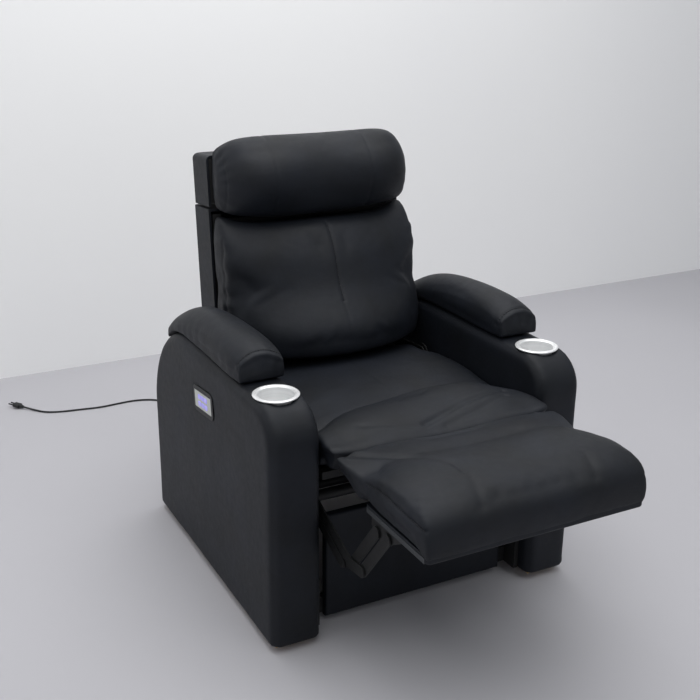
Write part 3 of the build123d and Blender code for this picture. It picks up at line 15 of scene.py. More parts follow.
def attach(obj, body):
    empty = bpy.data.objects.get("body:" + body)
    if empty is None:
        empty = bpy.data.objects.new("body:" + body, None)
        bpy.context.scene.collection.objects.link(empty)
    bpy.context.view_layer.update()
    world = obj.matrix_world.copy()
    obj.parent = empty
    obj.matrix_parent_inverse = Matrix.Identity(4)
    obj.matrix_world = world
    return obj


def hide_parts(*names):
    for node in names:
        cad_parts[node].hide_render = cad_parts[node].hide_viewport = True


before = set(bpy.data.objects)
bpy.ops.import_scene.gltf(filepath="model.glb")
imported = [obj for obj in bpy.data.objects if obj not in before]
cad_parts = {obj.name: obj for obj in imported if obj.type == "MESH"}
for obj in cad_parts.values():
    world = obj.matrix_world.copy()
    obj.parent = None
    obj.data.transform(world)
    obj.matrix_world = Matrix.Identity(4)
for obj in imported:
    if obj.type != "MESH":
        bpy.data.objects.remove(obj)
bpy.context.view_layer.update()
log = logging.getLogger("recliner")
logging.basicConfig(level=logging.INFO)

ARM_FRONT = -0.204  # Y of the arms' front faces
ARM_MIDDLE = 0.34  # X of an arm's middle
ARM_TOP = 0.575  # height of an arm's flat top
ARM_DEPTH = 0.785  # from an arm's front face to its rear face
FRONT_CORNER = 0.085  # radius of an arm's front top corner
REAR_CORNER = 0.255  # radius of its rear top corner
WELT_OFF = 0.0535  # from an arm's middle plane to its welts
SEAT_HALF = 0.2795  # half the space between the arms, which no cushion's cover passes
FLANKS = (-0.275, 0.275)  # X of the seat's and the footrest's two side edges
CREASE_HEIGHT = 0.5  # height that the rays for a cushion's creases are drawn at
SIDES = (-1, 1)  # left, right
DOWN = Vector((0, 0, -1))
REARWARD = Vector((0, 1, 0))
WIDE = 10.0  # a push's size along X where it is even over the whole width


def at(x: float, back: float, z: float) -> Vector:
    """A point from its X, its distance behind the arms' front faces, and its height."""
    return Vector((x, ARM_FRONT + back, z))


# ------------------------------------------------------------------ finishes
def linear(code: str) -> tuple[float, float, float, float]:
    """Turns an sRGB hex colour to linear.

    Args:
        code: six hex digits.

    Returns:
        Linear red, green, blue and an alpha of 1.
    """
    parts = [int(code[i : i + 2], 16) / 255 for i in (0, 2, 4)]
    low_high = [p / 12.92 if p <= 0.04045 else ((p + 0.055) / 1.055) ** 2.4 for p in parts]
    return (*low_high, 1.0)


def add_node(tree: bpy.types.NodeTree, kind: str, settings: dict | None = None,
             links: dict | None = None, **attributes: object) -> bpy.types.Node:
    """Adds a node with its settings and links.

    Args:
        tree: the material's or world's node tree.
        kind: the node's type name.
        settings: input socket, by name or number, to its value.
        links: input socket, by name or number, to the output socket that feeds it.
        attributes: properties of the node itself.

    Returns:
        The new node.
    """
    made = tree.nodes.new(kind)
    for name, value in attributes.items():
        setattr(made, name, value)
    for name, value in (settings or {}).items():
        made.inputs[name].default_value = value
    for name, source in (links or {}).items():
        tree.links.new(source, made.inputs[name])
    return made


def ramp(tree: bpy.types.NodeTree, source: bpy.types.NodeSocket,
         stops: tuple[tuple[float, str], ...]) -> bpy.types.NodeSocket:
    """Colours a value.

    Args:
        tree: the node tree.
        source: the value from 0 to 1.
        stops: place and sRGB hex colour of each stop, two or more.

    Returns:
        The colour output.
    """
    made = add_node(tree, "ShaderNodeValToRGB", links={0: source})
    band = made.color_ramp
    while len(band.elements) < len(stops):
        band.elements.new(0.5)
    for element, (place, code) in zip(band.elements, stops):
        element.position = place
        element.color = linear(code)
    return made.outputs["Color"]


def shader_of(name: str, **settings: float) -> tuple[bpy.types.Material, bpy.types.NodeTree, bpy.types.Node]:
    """A new material with its Principled shader.

    Args:
        name: the material's name.
        settings: the shader's sockets, with _ for a space.

    Returns:
        The material, its tree and the shader node.
    """
    material = bpy.data.materials.new(name)
    material.use_nodes = True
    tree = material.node_tree
    shader = tree.nodes["Principled BSDF"]
    for key, value in settings.items():
        shader.inputs[key.replace("_", " ")].default_value = value
    return material, tree, shader


@dataclass(frozen=True)
class Leather:
    """Bonded leather on foam: black, faintly blue, embossed grain, soft sheen from its clear top coat."""

    name: str
    dark: str = "0e1116"
    light: str = "161a22"
    grain_mm: float = 3.2  # the real emboss is about 1 mm: drawn coarser so that it shows
    roughness: float = 0.56
    bump: float = 0.22

    def build(self) -> bpy.types.Material:
        """Makes the material."""
        material, tree, shader = shader_of(self.name, Specular_IOR_Level=0.3)
        place = add_node(tree, "ShaderNodeTexCoord").outputs["Object"]
        cloud = add_node(tree, "ShaderNodeTexNoise", {"Scale": 9.0, "Detail": 4.0}, {"Vector": place})
        grain = add_node(tree, "ShaderNodeTexVoronoi", {"Scale": 1000 / self.grain_mm}, {"Vector": place},
                         feature="DISTANCE_TO_EDGE")
        folds = add_node(tree, "ShaderNodeTexNoise", {"Scale": 60.0, "Detail": 5.0, "Roughness": 0.6},
                         {"Vector": place})
        tree.links.new(ramp(tree, cloud.outputs["Fac"], ((0.3, self.dark), (0.72, self.light))),
                       shader.inputs["Base Color"])
        rough = add_node(tree, "ShaderNodeMapRange",
                         {"To Min": self.roughness - 0.07, "To Max": self.roughness + 0.1},
                         {"Value": folds.outputs["Fac"]})
        tree.links.new(rough.outputs[0], shader.inputs["Roughness"])
        fine = add_node(tree, "ShaderNodeBump", {"Strength": self.bump * 0.5, "Distance": 0.0005},
                        {"Height": grain.outputs["Distance"]})
        soft = add_node(tree, "ShaderNodeBump", {"Strength": self.bump, "Distance": 0.0022},
                        {"Height": folds.outputs["Fac"], "Normal": fine.outputs["Normal"]})
        tree.links.new(soft.outputs["Normal"], shader.inputs["Normal"])
        return material


@dataclass(frozen=True)
class Enamel:
    """Black powder coat on pressed steel: even, low sheen, a fine orange peel."""

    name: str
    colour: str = "0b0c0d"
    worn: str = "141516"
    roughness: float = 0.58

    def build(self) -> bpy.types.Material:
        """Makes the material."""
        material, tree, shader = shader_of(self.name, Metallic=0.15, Roughness=self.roughness)
        place = add_node(tree, "ShaderNodeTexCoord").outputs["Object"]
        wear = add_node(tree, "ShaderNodeTexNoise", {"Scale": 35.0, "Detail": 6.0}, {"Vector": place})
        peel = add_node(tree, "ShaderNodeTexNoise", {"Scale": 650.0, "Detail": 2.0}, {"Vector": place})
        tree.links.new(ramp(tree, wear.outputs["Fac"], ((0.45, self.colour), (0.8, self.worn))),
                       shader.inputs["Base Color"])
        bump = add_node(tree, "ShaderNodeBump", {"Strength": 0.15, "Distance": 0.0004},
                        {"Height": peel.outputs["Fac"]})
        tree.links.new(bump.outputs["Normal"], shader.inputs["Normal"])
        return material


@dataclass(frozen=True)
class Steel:
    """Spun stainless steel: turning lines round the cup's axis, bright and a little soft."""

    name: str
    colour: str = "fafafa"
    roughness: float = 0.4
    lines_mm: float = 2.5

    def build(self) -> bpy.types.Material:
        """Makes the material."""
        material, tree, shader = shader_of(self.name, Metallic=0.55)
        place = add_node(tree, "ShaderNodeTexCoord").outputs["Object"]
        lines = add_node(tree, "ShaderNodeMapping", {"Scale": (3.0, 3.0, 1000 / self.lines_mm)},
                         {"Vector": place})
        turned = add_node(tree, "ShaderNodeTexNoise", {"Scale": 1.0, "Detail": 3.0},
                          {"Vector": lines.outputs[0]})
        tree.links.new(ramp(tree, turned.outputs["Fac"], ((0.3, "eceded"), (0.7, self.colour))),
                       shader.inputs["Base Color"])
        rough = add_node(tree, "ShaderNodeMapRange",
                         {"To Min": self.roughness - 0.08, "To Max": self.roughness + 0.1},
                         {"Value": turned.outputs["Fac"]})
        tree.links.new(rough.outputs[0], shader.inputs["Roughness"])
        return material


@dataclass(frozen=True)
class Plastic:
    """Moulded ABS: an even colour with a fine spark-eroded texture."""

    name: str
    colour: str
    second: str
    roughness: float = 0.4
    glow: float = 0.0

    def build(self) -> bpy.types.Material:
        """Makes the material."""
        material, tree, shader = shader_of(self.name, IOR=1.46, Roughness=self.roughness)
        place = add_node(tree, "ShaderNodeTexCoord").outputs["Object"]
        cloud = add_node(tree, "ShaderNodeTexNoise", {"Scale": 40.0, "Detail": 3.0}, {"Vector": place})
        tree.links.new(ramp(tree, cloud.outputs["Fac"], ((0.3, self.colour), (0.75, self.second))),
                       shader.inputs["Base Color"])
        spark = add_node(tree, "ShaderNodeTexNoise", {"Scale": 900.0, "Detail": 1.0}, {"Vector": place})
        bump = add_node(tree, "ShaderNodeBump", {"Strength": 0.12, "Distance": 0.0003},
                        {"Height": spark.outputs["Fac"]})
        tree.links.new(bump.outputs["Normal"], shader.inputs["Normal"])
        if self.glow:
            shader.inputs["Emission Color"].default_value = linear(self.second)
            shader.inputs["Emission Strength"].default_value = self.glow
        return material


@dataclass(frozen=True)
class Plywood:
    """Poplar plywood, raw or stained black, with grain stretched along the arm."""

    name: str
    dark: str = "9a7850"
    light: str = "c7a87b"

    def build(self) -> bpy.types.Material:
        """Makes the material."""
        material, tree, shader = shader_of(self.name, Roughness=0.72)
        place = add_node(tree, "ShaderNodeTexCoord").outputs["Object"]
        long_way = add_node(tree, "ShaderNodeMapping", {"Scale": (60.0, 4.0, 60.0)}, {"Vector": place})
        grain = add_node(tree, "ShaderNodeTexNoise", {"Scale": 2.5, "Detail": 6.0, "Distortion": 0.5},
                         {"Vector": long_way.outputs[0]})
        tree.links.new(ramp(tree, grain.outputs["Fac"], ((0.3, self.dark), (0.7, self.light))),
                       shader.inputs["Base Color"])
        bump = add_node(tree, "ShaderNodeBump", {"Strength": 0.3, "Distance": 0.0006},
                        {"Height": grain.outputs["Fac"]})
        tree.links.new(bump.outputs["Normal"], shader.inputs["Normal"])
        return material


class Finish(Enum):
    """The finishes that the pieces choose from, each with the record's slot."""

    LEATHER = (Leather("bonded_leather"), "black_leather")
    PADDED = (Leather("bonded_leather"), "padded_leather")
    THREAD = (Plastic("polyester_thread", "121317", "1b1d22", 0.6), "padded_leather")
    STEEL = (Enamel("powder_coated_steel"), "black_steel")
    CUP = (Steel("spun_stainless_steel"), "cup_steel")
    PLY = (Plywood("poplar_plywood"), "plywood")
    STAINED = (Plywood("stained_plywood", "0b0b0c", "161617"), "stained_plywood")
    BLACK = (Plastic("black_abs", "0e0f11", "151619", 0.5), "black_plastic")
    BAND = (Plastic("edge_band", "2a2d30", "35383c", 0.5), "black_plastic")
    PALE = (Plastic("silver_grey_abs", "c3c6bf", "cfd2ca", 0.3), "pale_plastic")
    BUTTON = (Plastic("backlit_acrylic", "6f69b4", "aaa4ec", 0.3, 0.45), "button_plastic")
    RUBBER = (Plastic("cord_pvc", "0f1012", "17181b", 0.5), "cord_rubber")


MADE: dict[str, bpy.types.Material] = {}


def dress(piece: bpy.types.Object, finish: Finish, body: str | None = None) -> bpy.types.Object:
    """Gives a piece its finish, and what it rides on.

    Args:
        piece: a new piece or a CAD node.
        finish: the finish.
        body: the CAD body that a new piece rides on.

    Returns:
        The piece.
    """
    look, slot_name = finish.value
    if look.name not in MADE:
        MADE[look.name] = look.build()
    piece.data.materials.clear()
    piece.data.materials.append(MADE[look.name])
    if body is not None:
        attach(piece, body)
    return piece


# ------------------------------------------------------------------ mesh helpers
def object_from(bm: bmesh.types.BMesh, name: str, smooth: bool = True) -> bpy.types.Object:
    """Turns a bmesh into an object at the origin.

    Args:
        bm: the bmesh, which is freed.
        name: the piece's name.
        smooth: whether its faces are shaded smooth.

    Returns:
        The object, linked to the scene.
    """
    mesh = bpy.data.meshes.new(name)
    bm.to_mesh(mesh)
    bm.free()
    mesh.polygons.foreach_set("use_smooth", [smooth] * len(mesh.polygons))
    made = bpy.data.objects.new(name, mesh)
    bpy.context.scene.collection.objects.link(made)
    return made


def points_of(piece: bpy.types.Object) -> np.ndarray:
    """The mesh's vertices as an array."""
    found = np.empty(len(piece.data.vertices) * 3, np.float32)
    piece.data.vertices.foreach_get("co", found)
    return found.reshape(-1, 3).astype(float)


def normals_of(piece: bpy.types.Object) -> np.ndarray:
    """The mesh's vertex normals as an array."""
    piece.data.update()
    found = np.empty(len(piece.data.vertices) * 3, np.float32)
    piece.data.vertex_normals.foreach_get("vector", found)
    return found.reshape(-1, 3).astype(float)


def put_points(piece: bpy.types.Object, points: np.ndarray) -> None:
    """Writes the vertices back."""
    piece.data.vertices.foreach_set("co", points.astype(np.float32).ravel())
    piece.data.update()


def apply_modifier(piece: bpy.types.Object, kind: str, **settings: object) -> None:
    """Adds a modifier, and bakes it into the mesh.

    Args:
        piece: the object.
        kind: the modifier's type.
        settings: its properties.
    """
    modifier = piece.modifiers.new(kind, kind)
    for key, value in settings.items():
        setattr(modifier, key, value)
    baked = bpy.data.meshes.new_from_object(piece.evaluated_get(bpy.context.evaluated_depsgraph_get()))
    piece.modifiers.clear()
    piece.data = baked


def node_copy(name: str, *nodes: str) -> bpy.types.Object:
    """A closed copy of one or more CAD nodes' meshes, under a new name."""
    bm = bmesh.new()
    for node in nodes:
        bm.from_mesh(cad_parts[node].data)
    bmesh.ops.remove_doubles(bm, verts=bm.verts, dist=1e-5)
    return object_from(bm, name)


def smooth_mesh(piece: bpy.types.Object, passes: int, factor: float = 0.5) -> None:
    """Relaxes a mesh, which rounds its edges."""
    bm = bmesh.new()
    bm.from_mesh(piece.data)
    for _ in range(passes):
        bmesh.ops.smooth_vert(bm, verts=bm.verts, factor=factor, use_axis_x=True, use_axis_y=True,
                              use_axis_z=True)
    bm.to_mesh(piece.data)
    bm.free()


@dataclass(frozen=True)
class Seam:
    """A sewn line: rays from the outside points towards the inside points find it on the cover."""

    outside: tuple[Vector, ...]
    inside: tuple[Vector, ...]
    depth: float = 0.004
    width: float = 0.005
    pucker: float = 0.0
    pitch: float = 0.034
    reach: float = 0.03
    stitched: bool = False

    def on(self, tree: BVHTree, step: float = 0.003) -> tuple[list[Vector], list[Vector]]:
        """Finds the line on a surface.

        Args:
            tree: the surface.
            step: distance between the points found.

        Returns:
            The points, and the surface's normals there.
        """
        points, normals = [], []
        for a, b, c, d in zip(self.outside, self.outside[1:], self.inside, self.inside[1:]):
            count = max(2, int((b - a).length / step))
            for i in range(count):
                start, end = a.lerp(b, i / count), c.lerp(d, i / count)
                ray = end - start
                hit, normal, _, _ = tree.ray_cast(start, ray.normalized(), ray.length * 1.2)
                if hit is not None:
                    points.append(hit)
                    normals.append(normal)
        return points, normals


def drop_seam(line: list[Vector], way: Vector, span: float = 0.4, **settings: object) -> Seam:
    """A seam that parallel rays find.

    Args:
        line: points on or near the surface.
        way: the rays' direction.
        span: how far the rays start before the points, and end behind them.
        settings: the seam's own fields.

    Returns:
        The seam.
    """
    reach = way.normalized() * span
    return Seam(tuple(p - reach for p in line), tuple(p + reach for p in line), **settings)


def crease(*spots: tuple[float, float], depth: float, width: float) -> Seam:
    """A fold in a cushion's top.

    Args:
        spots: its points, each by X and by distance behind the arms' front faces.
        depth: how deep the fold is.
        width: how wide it is.

    Returns:
        The seam.
    """
    line = [at(x, back, CREASE_HEIGHT) for x, back in spots]
    return drop_seam(line, DOWN, 0.06, depth=depth, width=width)


def ring_seam(x: float, centre: Vector, first: float, last: float, **settings: object) -> Seam:
    """A seam round a bar that lies along X.

    Args:
        x: the seam's place along the bar.
        centre: a point of the bar's axis.
        first: angle where it starts, in degrees: 0 is straight ahead, and 90 is up.
        last: angle where it ends.
        settings: the seam's own fields.

    Returns:
        The seam.
    """
    angles = [math.radians(first + (last - first) * i / 24) for i in range(25)]
    outside = [Vector((x, centre.y - 0.3 * math.cos(a), centre.z + 0.3 * math.sin(a))) for a in angles]
    return Seam(tuple(outside), tuple(Vector((x, centre.y, centre.z)) for _ in angles), **settings)


def nearest(points: np.ndarray, line: np.ndarray) -> tuple[np.ndarray, np.ndarray]:
    """Distance of each point to a line's points, and the nearest one's place along the line."""
    runs = np.concatenate([[0], np.cumsum(np.linalg.norm(np.diff(line, axis=0), axis=1))])
    low, high = line.min(0) - 0.08, line.max(0) + 0.08
    near = np.all((points > low) & (points < high), axis=1)
    distance, place = np.full(len(points), 1.0), np.zeros(len(points))
    index = np.nonzero(near)[0]
    for part in np.array_split(index, max(1, len(index) // 4000)):
        if len(part):
            gaps = np.linalg.norm(points[part][:, None, :] - line[None, :, :], axis=2)
            least = gaps.argmin(1)
            distance[part], place[part] = gaps[np.arange(len(part)), least], runs[least]
    return distance, place


def sew(piece: bpy.types.Object, seam: Seam, seed: float) -> list[tuple[Vector, Vector]]:
    """Pulls a cover in along a seam, and gathers it beside the seam.

    Args:
        piece: the cover.
        seam: the sewn line.
        seed: sets the gathers apart from another seam's.

    Returns:
        The seam's points and normals on the cover.
    """
    bm = bmesh.new()
    bm.from_mesh(piece.data)
    tree = BVHTree.FromBMesh(bm)
    bm.free()
    found, normals = seam.on(tree)
    if len(found) < 3:
        log.warning("a seam on %s finds no cover", piece.name)
        return []
    points, out = points_of(piece), normals_of(piece)
    distance, place = nearest(points, np.array([tuple(p) for p in found]))
    pull = seam.depth * np.exp(-((distance / seam.width) ** 2))
    if seam.pucker:
        wander = 1.7 * np.sin(place * 23 + seed)  # so that the gathers aren't evenly spaced
        phase = place / seam.pitch * 2 * math.pi + wander + seed
        fold = 0.5 + 0.5 * np.sin(phase)
        pull += seam.pucker * fold * np.exp(-((distance / seam.reach) ** 2))
    put_points(piece, points - out * pull[:, None])
    return list(zip(found, normals))


def undulate(piece: bpy.types.Object, height: float, size: float, stretch: Vector, seed: float) -> None:
    """Gives a cover the slow unevenness of foam under leather.

    Args:
        piece: the cover.
        height: the highest bump or hollow, in metres.
        size: distance from bump to bump, in metres.
        stretch: how many times longer the bumps are along each axis.
        seed: moves the pattern.
    """
    points, out = points_of(piece), normals_of(piece)
    scale = Vector((1 / (size * stretch.x), 1 / (size * stretch.y), 1 / (size * stretch.z)))
    shift = Vector((seed, seed * 1.7, seed * 0.6))
    lift = np.array([noise.fractal(Vector(p) * scale + shift, 1.0, 2.1, 3) for p in map(tuple, points)])
    put_points(piece, points + out * (height * lift)[:, None])


def inflate(piece: bpy.types.Object, cap: float, frames: int = 14, pressure: float = 4.0,
            along: float = 0.5) -> None:
    """Blows a cover up with the cloth solver, outwards only, and no point further than the cap.

    Args:
        piece: the closed cover.
        cap: the furthest that a point may move, in metres.
        frames: how many frames the solver runs.
        pressure: the solver's uniform pressure.
        along: the share that is kept of a move along the surface.
    """
    start, out = points_of(piece), normals_of(piece)
    modifier = piece.modifiers.new("Cloth", "CLOTH")
    cloth = modifier.settings
    cloth.quality = 4
    cloth.mass = 0.3
    cloth.tension_stiffness = 20
    cloth.compression_stiffness = 20
    cloth.shear_stiffness = 8
    cloth.bending_stiffness = 1.2
    cloth.use_pressure = True
    cloth.uniform_pressure_force = pressure
    cloth.effector_weights.gravity = 0
    modifier.collision_settings.use_collision = False
    scene = bpy.context.scene
    for number in range(1, frames + 1):
        scene.frame_set(number)
    shown = piece.evaluated_get(bpy.context.evaluated_depsgraph_get()).to_mesh()
    end = np.empty(len(start) * 3, np.float32)
    shown.vertices.foreach_get("co", end)
    piece.modifiers.clear()
    scene.frame_set(1)
    move = end.reshape(-1, 3).astype(float) - start
    rise = (move * out).sum(1)
    move = (move - out * rise[:, None]) * along + out * np.maximum(rise, 0.0)[:, None]
    length = np.maximum(np.linalg.norm(move, axis=1), 1e-9)
    put_points(piece, start + move * (cap * np.tanh(length / cap) / length)[:, None])
    smooth_mesh(piece, 3)


@dataclass(frozen=True)
class Push:
    """A soft push of a cover's points near a place, as the stuffing pushes it out or a fold draws it in."""

    centre: Vector
    size: Vector
    move: Vector

    def on(self, points: np.ndarray) -> np.ndarray:
        """Moves the points, less and less with their distance from the centre."""
        away = (points - np.array(self.centre)) / np.array(self.size)
        return points + np.exp(-(away**2).sum(1))[:, None] * np.array(self.move)


@dataclass
class Cover:
    """A padded piece: one or more CAD solids, rounded, blown up, pushed into shape, sewn and creased."""

    node: str
    body: str
    name: str
    seams: tuple[Seam, ...] = ()
    voxel: float = 0.006
    rounding: int = 8
    shrink: float = 0.006
    swell: float = 0.012
    uneven: float = 0.0018
    uneven_size: float = 0.09
    stretch: Vector = field(default_factory=lambda: Vector((1, 1, 1)))
    fine: bool = True
    fill: float = 0.7
    seed: float = 1.0
    with_nodes: tuple[str, ...] = ()
    pushes: tuple[Push, ...] = ()
    limit: float = 1.0
    finish: Finish = Finish.PADDED

    def build(self) -> bpy.types.Object:
        """Builds the cover and its stitches.

        Returns:
            The cover.
        """
        piece = node_copy(self.name, self.node, *self.with_nodes)
        apply_modifier(piece, "REMESH", mode="VOXEL", voxel_size=self.voxel)
        smooth_mesh(piece, self.rounding)
        if self.swell:
            put_points(piece, points_of(piece) - normals_of(piece) * self.shrink)
            inflate(piece, self.swell)
        points = points_of(piece)
        for push in self.pushes:
            points = push.on(points)
        put_points(piece, points)
        if self.fine:
            apply_modifier(piece, "SUBSURF", levels=1, render_levels=1)
        undulate(piece, self.uneven, self.uneven_size, self.stretch, self.seed)
        lines = []
        for number, seam in enumerate(self.seams):
            found = sew(piece, seam, self.seed * 3 + number * 1.3)
            if seam.stitched and found:
                lines.append(found)
        points = points_of(piece)
        points[:, 0] = np.clip(points[:, 0], -self.limit, self.limit)
        put_points(piece, points)
        piece.data.polygons.foreach_set("use_smooth", [True] * len(piece.data.polygons))
        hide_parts(self.node, *self.with_nodes)
        dress(piece, self.finish, self.body)
        if lines:
            stitch(lines, self.name + "_stitches", self.body)
        log.info("%s: %d faces", self.name, len(piece.data.polygons))
        return piece


def stitch(lines: list[list[tuple[Vector, Vector]]], name: str, body: str, length: float = 0.0042,
           thick: float = 0.0011) -> None:
    """Lays thread stitches along sewn lines, as one piece.

    Args:
        lines: for each line, its points and normals on the cover.
        name: the piece's name.
        body: the body it rides on.
        length: a stitch's length.
        thick: the thread's thickness.
    """
    bm = bmesh.new()
    for line in lines:
        for i in range(0, len(line) - 2, 2):
            (a, n), (b, _) = line[i], line[i + 1]
            way = (b - a).normalized() if (b - a).length > 1e-6 else Vector((1, 0, 0))
            side = way.cross(n).normalized()
            turn = Matrix((way, side, way.cross(side))).transposed().to_4x4()
            made = bmesh.ops.create_cube(bm, size=1.0)["verts"]
            bmesh.ops.scale(bm, vec=(length, thick, thick), verts=made)
            sunk = Matrix.Translation(a.lerp(b, 0.5) - n * 0.0012)
            bmesh.ops.transform(bm, matrix=sunk @ turn, verts=made)
    piece = object_from(bm, name)
    dress(piece, Finish.THREAD, body)


# ------------------------------------------------------------------ the mains cord
@dataclass
class MainsCord:
    """The thin mains lead that runs from behind the seat over the floor to its plug."""

    diameter: float = 0.006
    length: float = 1.185
    x: float = -0.12
    height: float = 0.06
    rear: float = 0.784
    gland: float = 0.03

    def route(self) -> list[Vector]:
        """The route's control points, the same as the solid's."""
        floor, plug = self.diameter / 2, 0.008
        spots = [
            (self.x, self.rear + self.gland, self.height), (self.x, self.rear + 0.07, self.height),
            (self.x - 0.001, self.rear + 0.12, 0.036), (self.x - 0.006, self.rear + 0.176, 0.009),
            (-0.134, 1.030, floor), (-0.132, 1.105, floor), (-0.120, 1.180, floor), (-0.116, 1.258, floor),
            (-0.126, 1.334, floor), (-0.133, 1.404, floor), (-0.144, 1.468, floor), (-0.180, 1.518, floor),
            (-0.240, 1.541, floor), (-0.305, 1.538, floor), (-0.366, 1.532, floor), (-0.430, 1.544, floor),
            (-0.490, 1.552, floor), (-0.540, 1.570, floor), (-0.572, 1.606, floor + 0.001),
            (-0.600, 1.638, plug),
        ]
        return [at(*spot) for spot in spots]

    def build(self) -> None:
        curve = bpy.data.curves.new("mains_lead", "CURVE")
        curve.dimensions = "3D"
        curve.bevel_depth = self.diameter / 2
        curve.bevel_resolution = 4
        curve.resolution_u = 12
        curve.use_fill_caps = True
        spline = curve.splines.new("NURBS")
        path = self.route()
        spline.points.add(len(path) - 1)
        for point, place in zip(spline.points, path):
            point.co = (*place, 1)
        spline.order_u = 3
        spline.use_endpoint_u = True
        lead = bpy.data.objects.new("mains_lead", curve)
        bpy.context.scene.collection.objects.link(lead)
        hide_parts("mains_cord")
        dress(lead, Finish.RUBBER, "base")


# ------------------------------------------------------------------ upholstery
@dataclass
class Arm:
    """One arm: its cover with welted edges, and the humped pad on top."""

    side: int
    hand: str

    def rim(self) -> list[tuple[float, float]]:
        """The arm's outline from its front foot to its rear foot: distances back, and heights."""
        turns = [math.radians(i * 90 / 8) for i in range(1, 9)]
        front, rear = FRONT_CORNER, REAR_CORNER
        return [
            (0.0, 0.03), (0.0, 0.2), (0.0, 0.4), (0.0, 0.49),
            *((front - front * math.cos(a), 0.49 + front * math.sin(a)) for a in turns),
            (0.2, ARM_TOP), (0.35, ARM_TOP), (0.53, ARM_TOP),
            *((0.53 + rear * math.sin(a), 0.32 + rear * math.cos(a)) for a in turns),
            (ARM_DEPTH, 0.2), (ARM_DEPTH, 0.03),
        ]

    def cover(self) -> None:
        """Builds the arm's own cover, with a welt along each flank."""
        welts = []
        for flank in SIDES:
            outside, inside = [], []
            for back, z in self.rim():
                away = Vector((0.0, back - 0.3, z - 0.3)).normalized() * 0.1
                spot = at(self.side * ARM_MIDDLE + flank * WELT_OFF, back, z)
                outside.append(spot + away)
                inside.append(spot - away)
            welts.append(Seam(tuple(outside), tuple(inside), depth=0.0016, width=0.006))
        Cover(f"arm_cover_{self.hand}", "base", f"arm_leather_{self.hand}", tuple(welts), voxel=0.0065,
              rounding=3, shrink=0.0, swell=0.0, uneven=0.0012, uneven_size=0.2, fine=False, fill=0.9,
              seed=4.0 + self.side, finish=Finish.LEATHER).build()

    def pad(self) -> None:
        """Builds the humped pad, with its stitched front seam and its side seam."""
        x = self.side * ARM_MIDDLE
        front = 0.172
        top = [at(x + dx, front + 0.018, 0.64) for dx in (-0.052, -0.03, 0.0, 0.03, 0.052)]
        cap = [at(x + dx, front, 0.632 - abs(dx) * 0.35) for dx in (-0.056, -0.03, 0.0, 0.03, 0.056)]
        flank = [at(x + self.side * 0.07, b, 0.60 - max(0, b - 0.45) * 0.22) for b in
                 (0.19, 0.3, 0.45, 0.6, 0.66)]
        seams = (
            drop_seam(top, DOWN, 0.1, depth=0.0016, width=0.004, pucker=0.0008, pitch=0.03, reach=0.02,
                      stitched=True),
            drop_seam(cap, REARWARD, 0.1, depth=0.001, width=0.006, pucker=0.0012, pitch=0.036, reach=0.02),
            drop_seam(flank, Vector((-self.side, 0, 0)), 0.08, depth=0.001, width=0.006, pucker=0.0008,
                      pitch=0.05, reach=0.03),
        )
        crown = Push(at(x, 0.46, 0.66), Vector((0.1, 0.2, 0.05)), Vector((0, 0, 0.010)))
        Cover(f"arm_pad_{self.hand}", "base", f"arm_pillow_{self.hand}", seams, voxel=0.005, rounding=4,
              shrink=0.004, swell=0.007, uneven=0.0012, uneven_size=0.1, stretch=Vector((1, 2, 1)), fill=0.8,
              seed=2.0 + self.side, pushes=(crown,)).build()

    def build(self) -> None:
        """Builds the arm's soft pieces."""
        self.cover()
        self.pad()


@dataclass
class Seat:
    """The flat rear cushion, and the plump front pad with its creases."""

    def rear(self) -> None:
        """Builds the rear cushion, whose front end tucks under the pad."""
        line = drop_seam([at(0, b, 0.49) for b in (0.16, 0.3, 0.52)], DOWN, 0.05, depth=0.0008, width=0.006)
        under = Push(at(0, 0.138, 0.43), Vector((WIDE, 0.03, 0.06)), Vector((0, -0.055, 0)))
        Cover("seat_cushion", "base", "seat_leather", (line,), voxel=0.008, rounding=5, shrink=0.003,
              swell=0.004, uneven=0.0018, uneven_size=0.16, fill=0.8, seed=6.0, pushes=(under,),
              limit=SEAT_HALF).build()

    def front(self) -> None:
        """Builds the front pad."""
        folds = (
            # two long creases that run over the pad from its rear right corner, and a short one at the left
            crease((0.215, 0.058), (0.086, 0.033), (-0.04, -0.008), depth=0.0042, width=0.009),
            crease((0.20, 0.030), (0.10, -0.004), (0.01, -0.022), depth=0.0022, width=0.009),
            crease((-0.178, 0.023), (-0.11, 0.008), (-0.053, -0.01), depth=0.002, width=0.008),
        )
        pushes = (
            # the lobe that laps over the rear cushion, and the drawn-in corners beside it
            Push(at(0.07, 0.137, 0.49), Vector((0.17, 0.055, 0.05)), Vector((0, 0.045, 0.009))),
            Push(at(-0.285, 0.14, 0.48), Vector((0.08, 0.06, 0.06)), Vector((0, -0.045, -0.012))),
            Push(at(0.285, 0.14, 0.48), Vector((0.06, 0.05, 0.06)), Vector((0, -0.04, -0.012))),
            # the nose, which meets the footrest's cover at the knee
            Push(at(0, -0.042, 0.478), Vector((WIDE, 0.02, 0.02)), Vector((0, -0.007, 0.006))),
            Push(at(0, -0.04, 0.415), Vector((WIDE, 0.05, 0.03)), Vector((0, 0.006, 0.008))),
            # full side edges over a thin flank
            *(Push(at(x, -0.03, 0.475), Vector((0.035, 0.09, 0.03)), Vector((x * 0.05, 0, 0.014)))
              for x in FLANKS),
            *(Push(at(x, -0.045, 0.435), Vector((0.06, 0.09, 0.035)), Vector((0, 0, 0.034)))
              for x in FLANKS),
        )
        Cover("front_pad", "base", "front_pad_leather", folds, rounding=4, shrink=0.004, swell=0.006,
              uneven=0.0016, uneven_size=0.12, stretch=Vector((1.6, 1, 1)), fill=0.75, seed=8.0,
              pushes=pushes, limit=SEAT_HALF).build()

    def build(self) -> None:
        """Builds the seat's cushions."""
        self.rear()
        self.front()


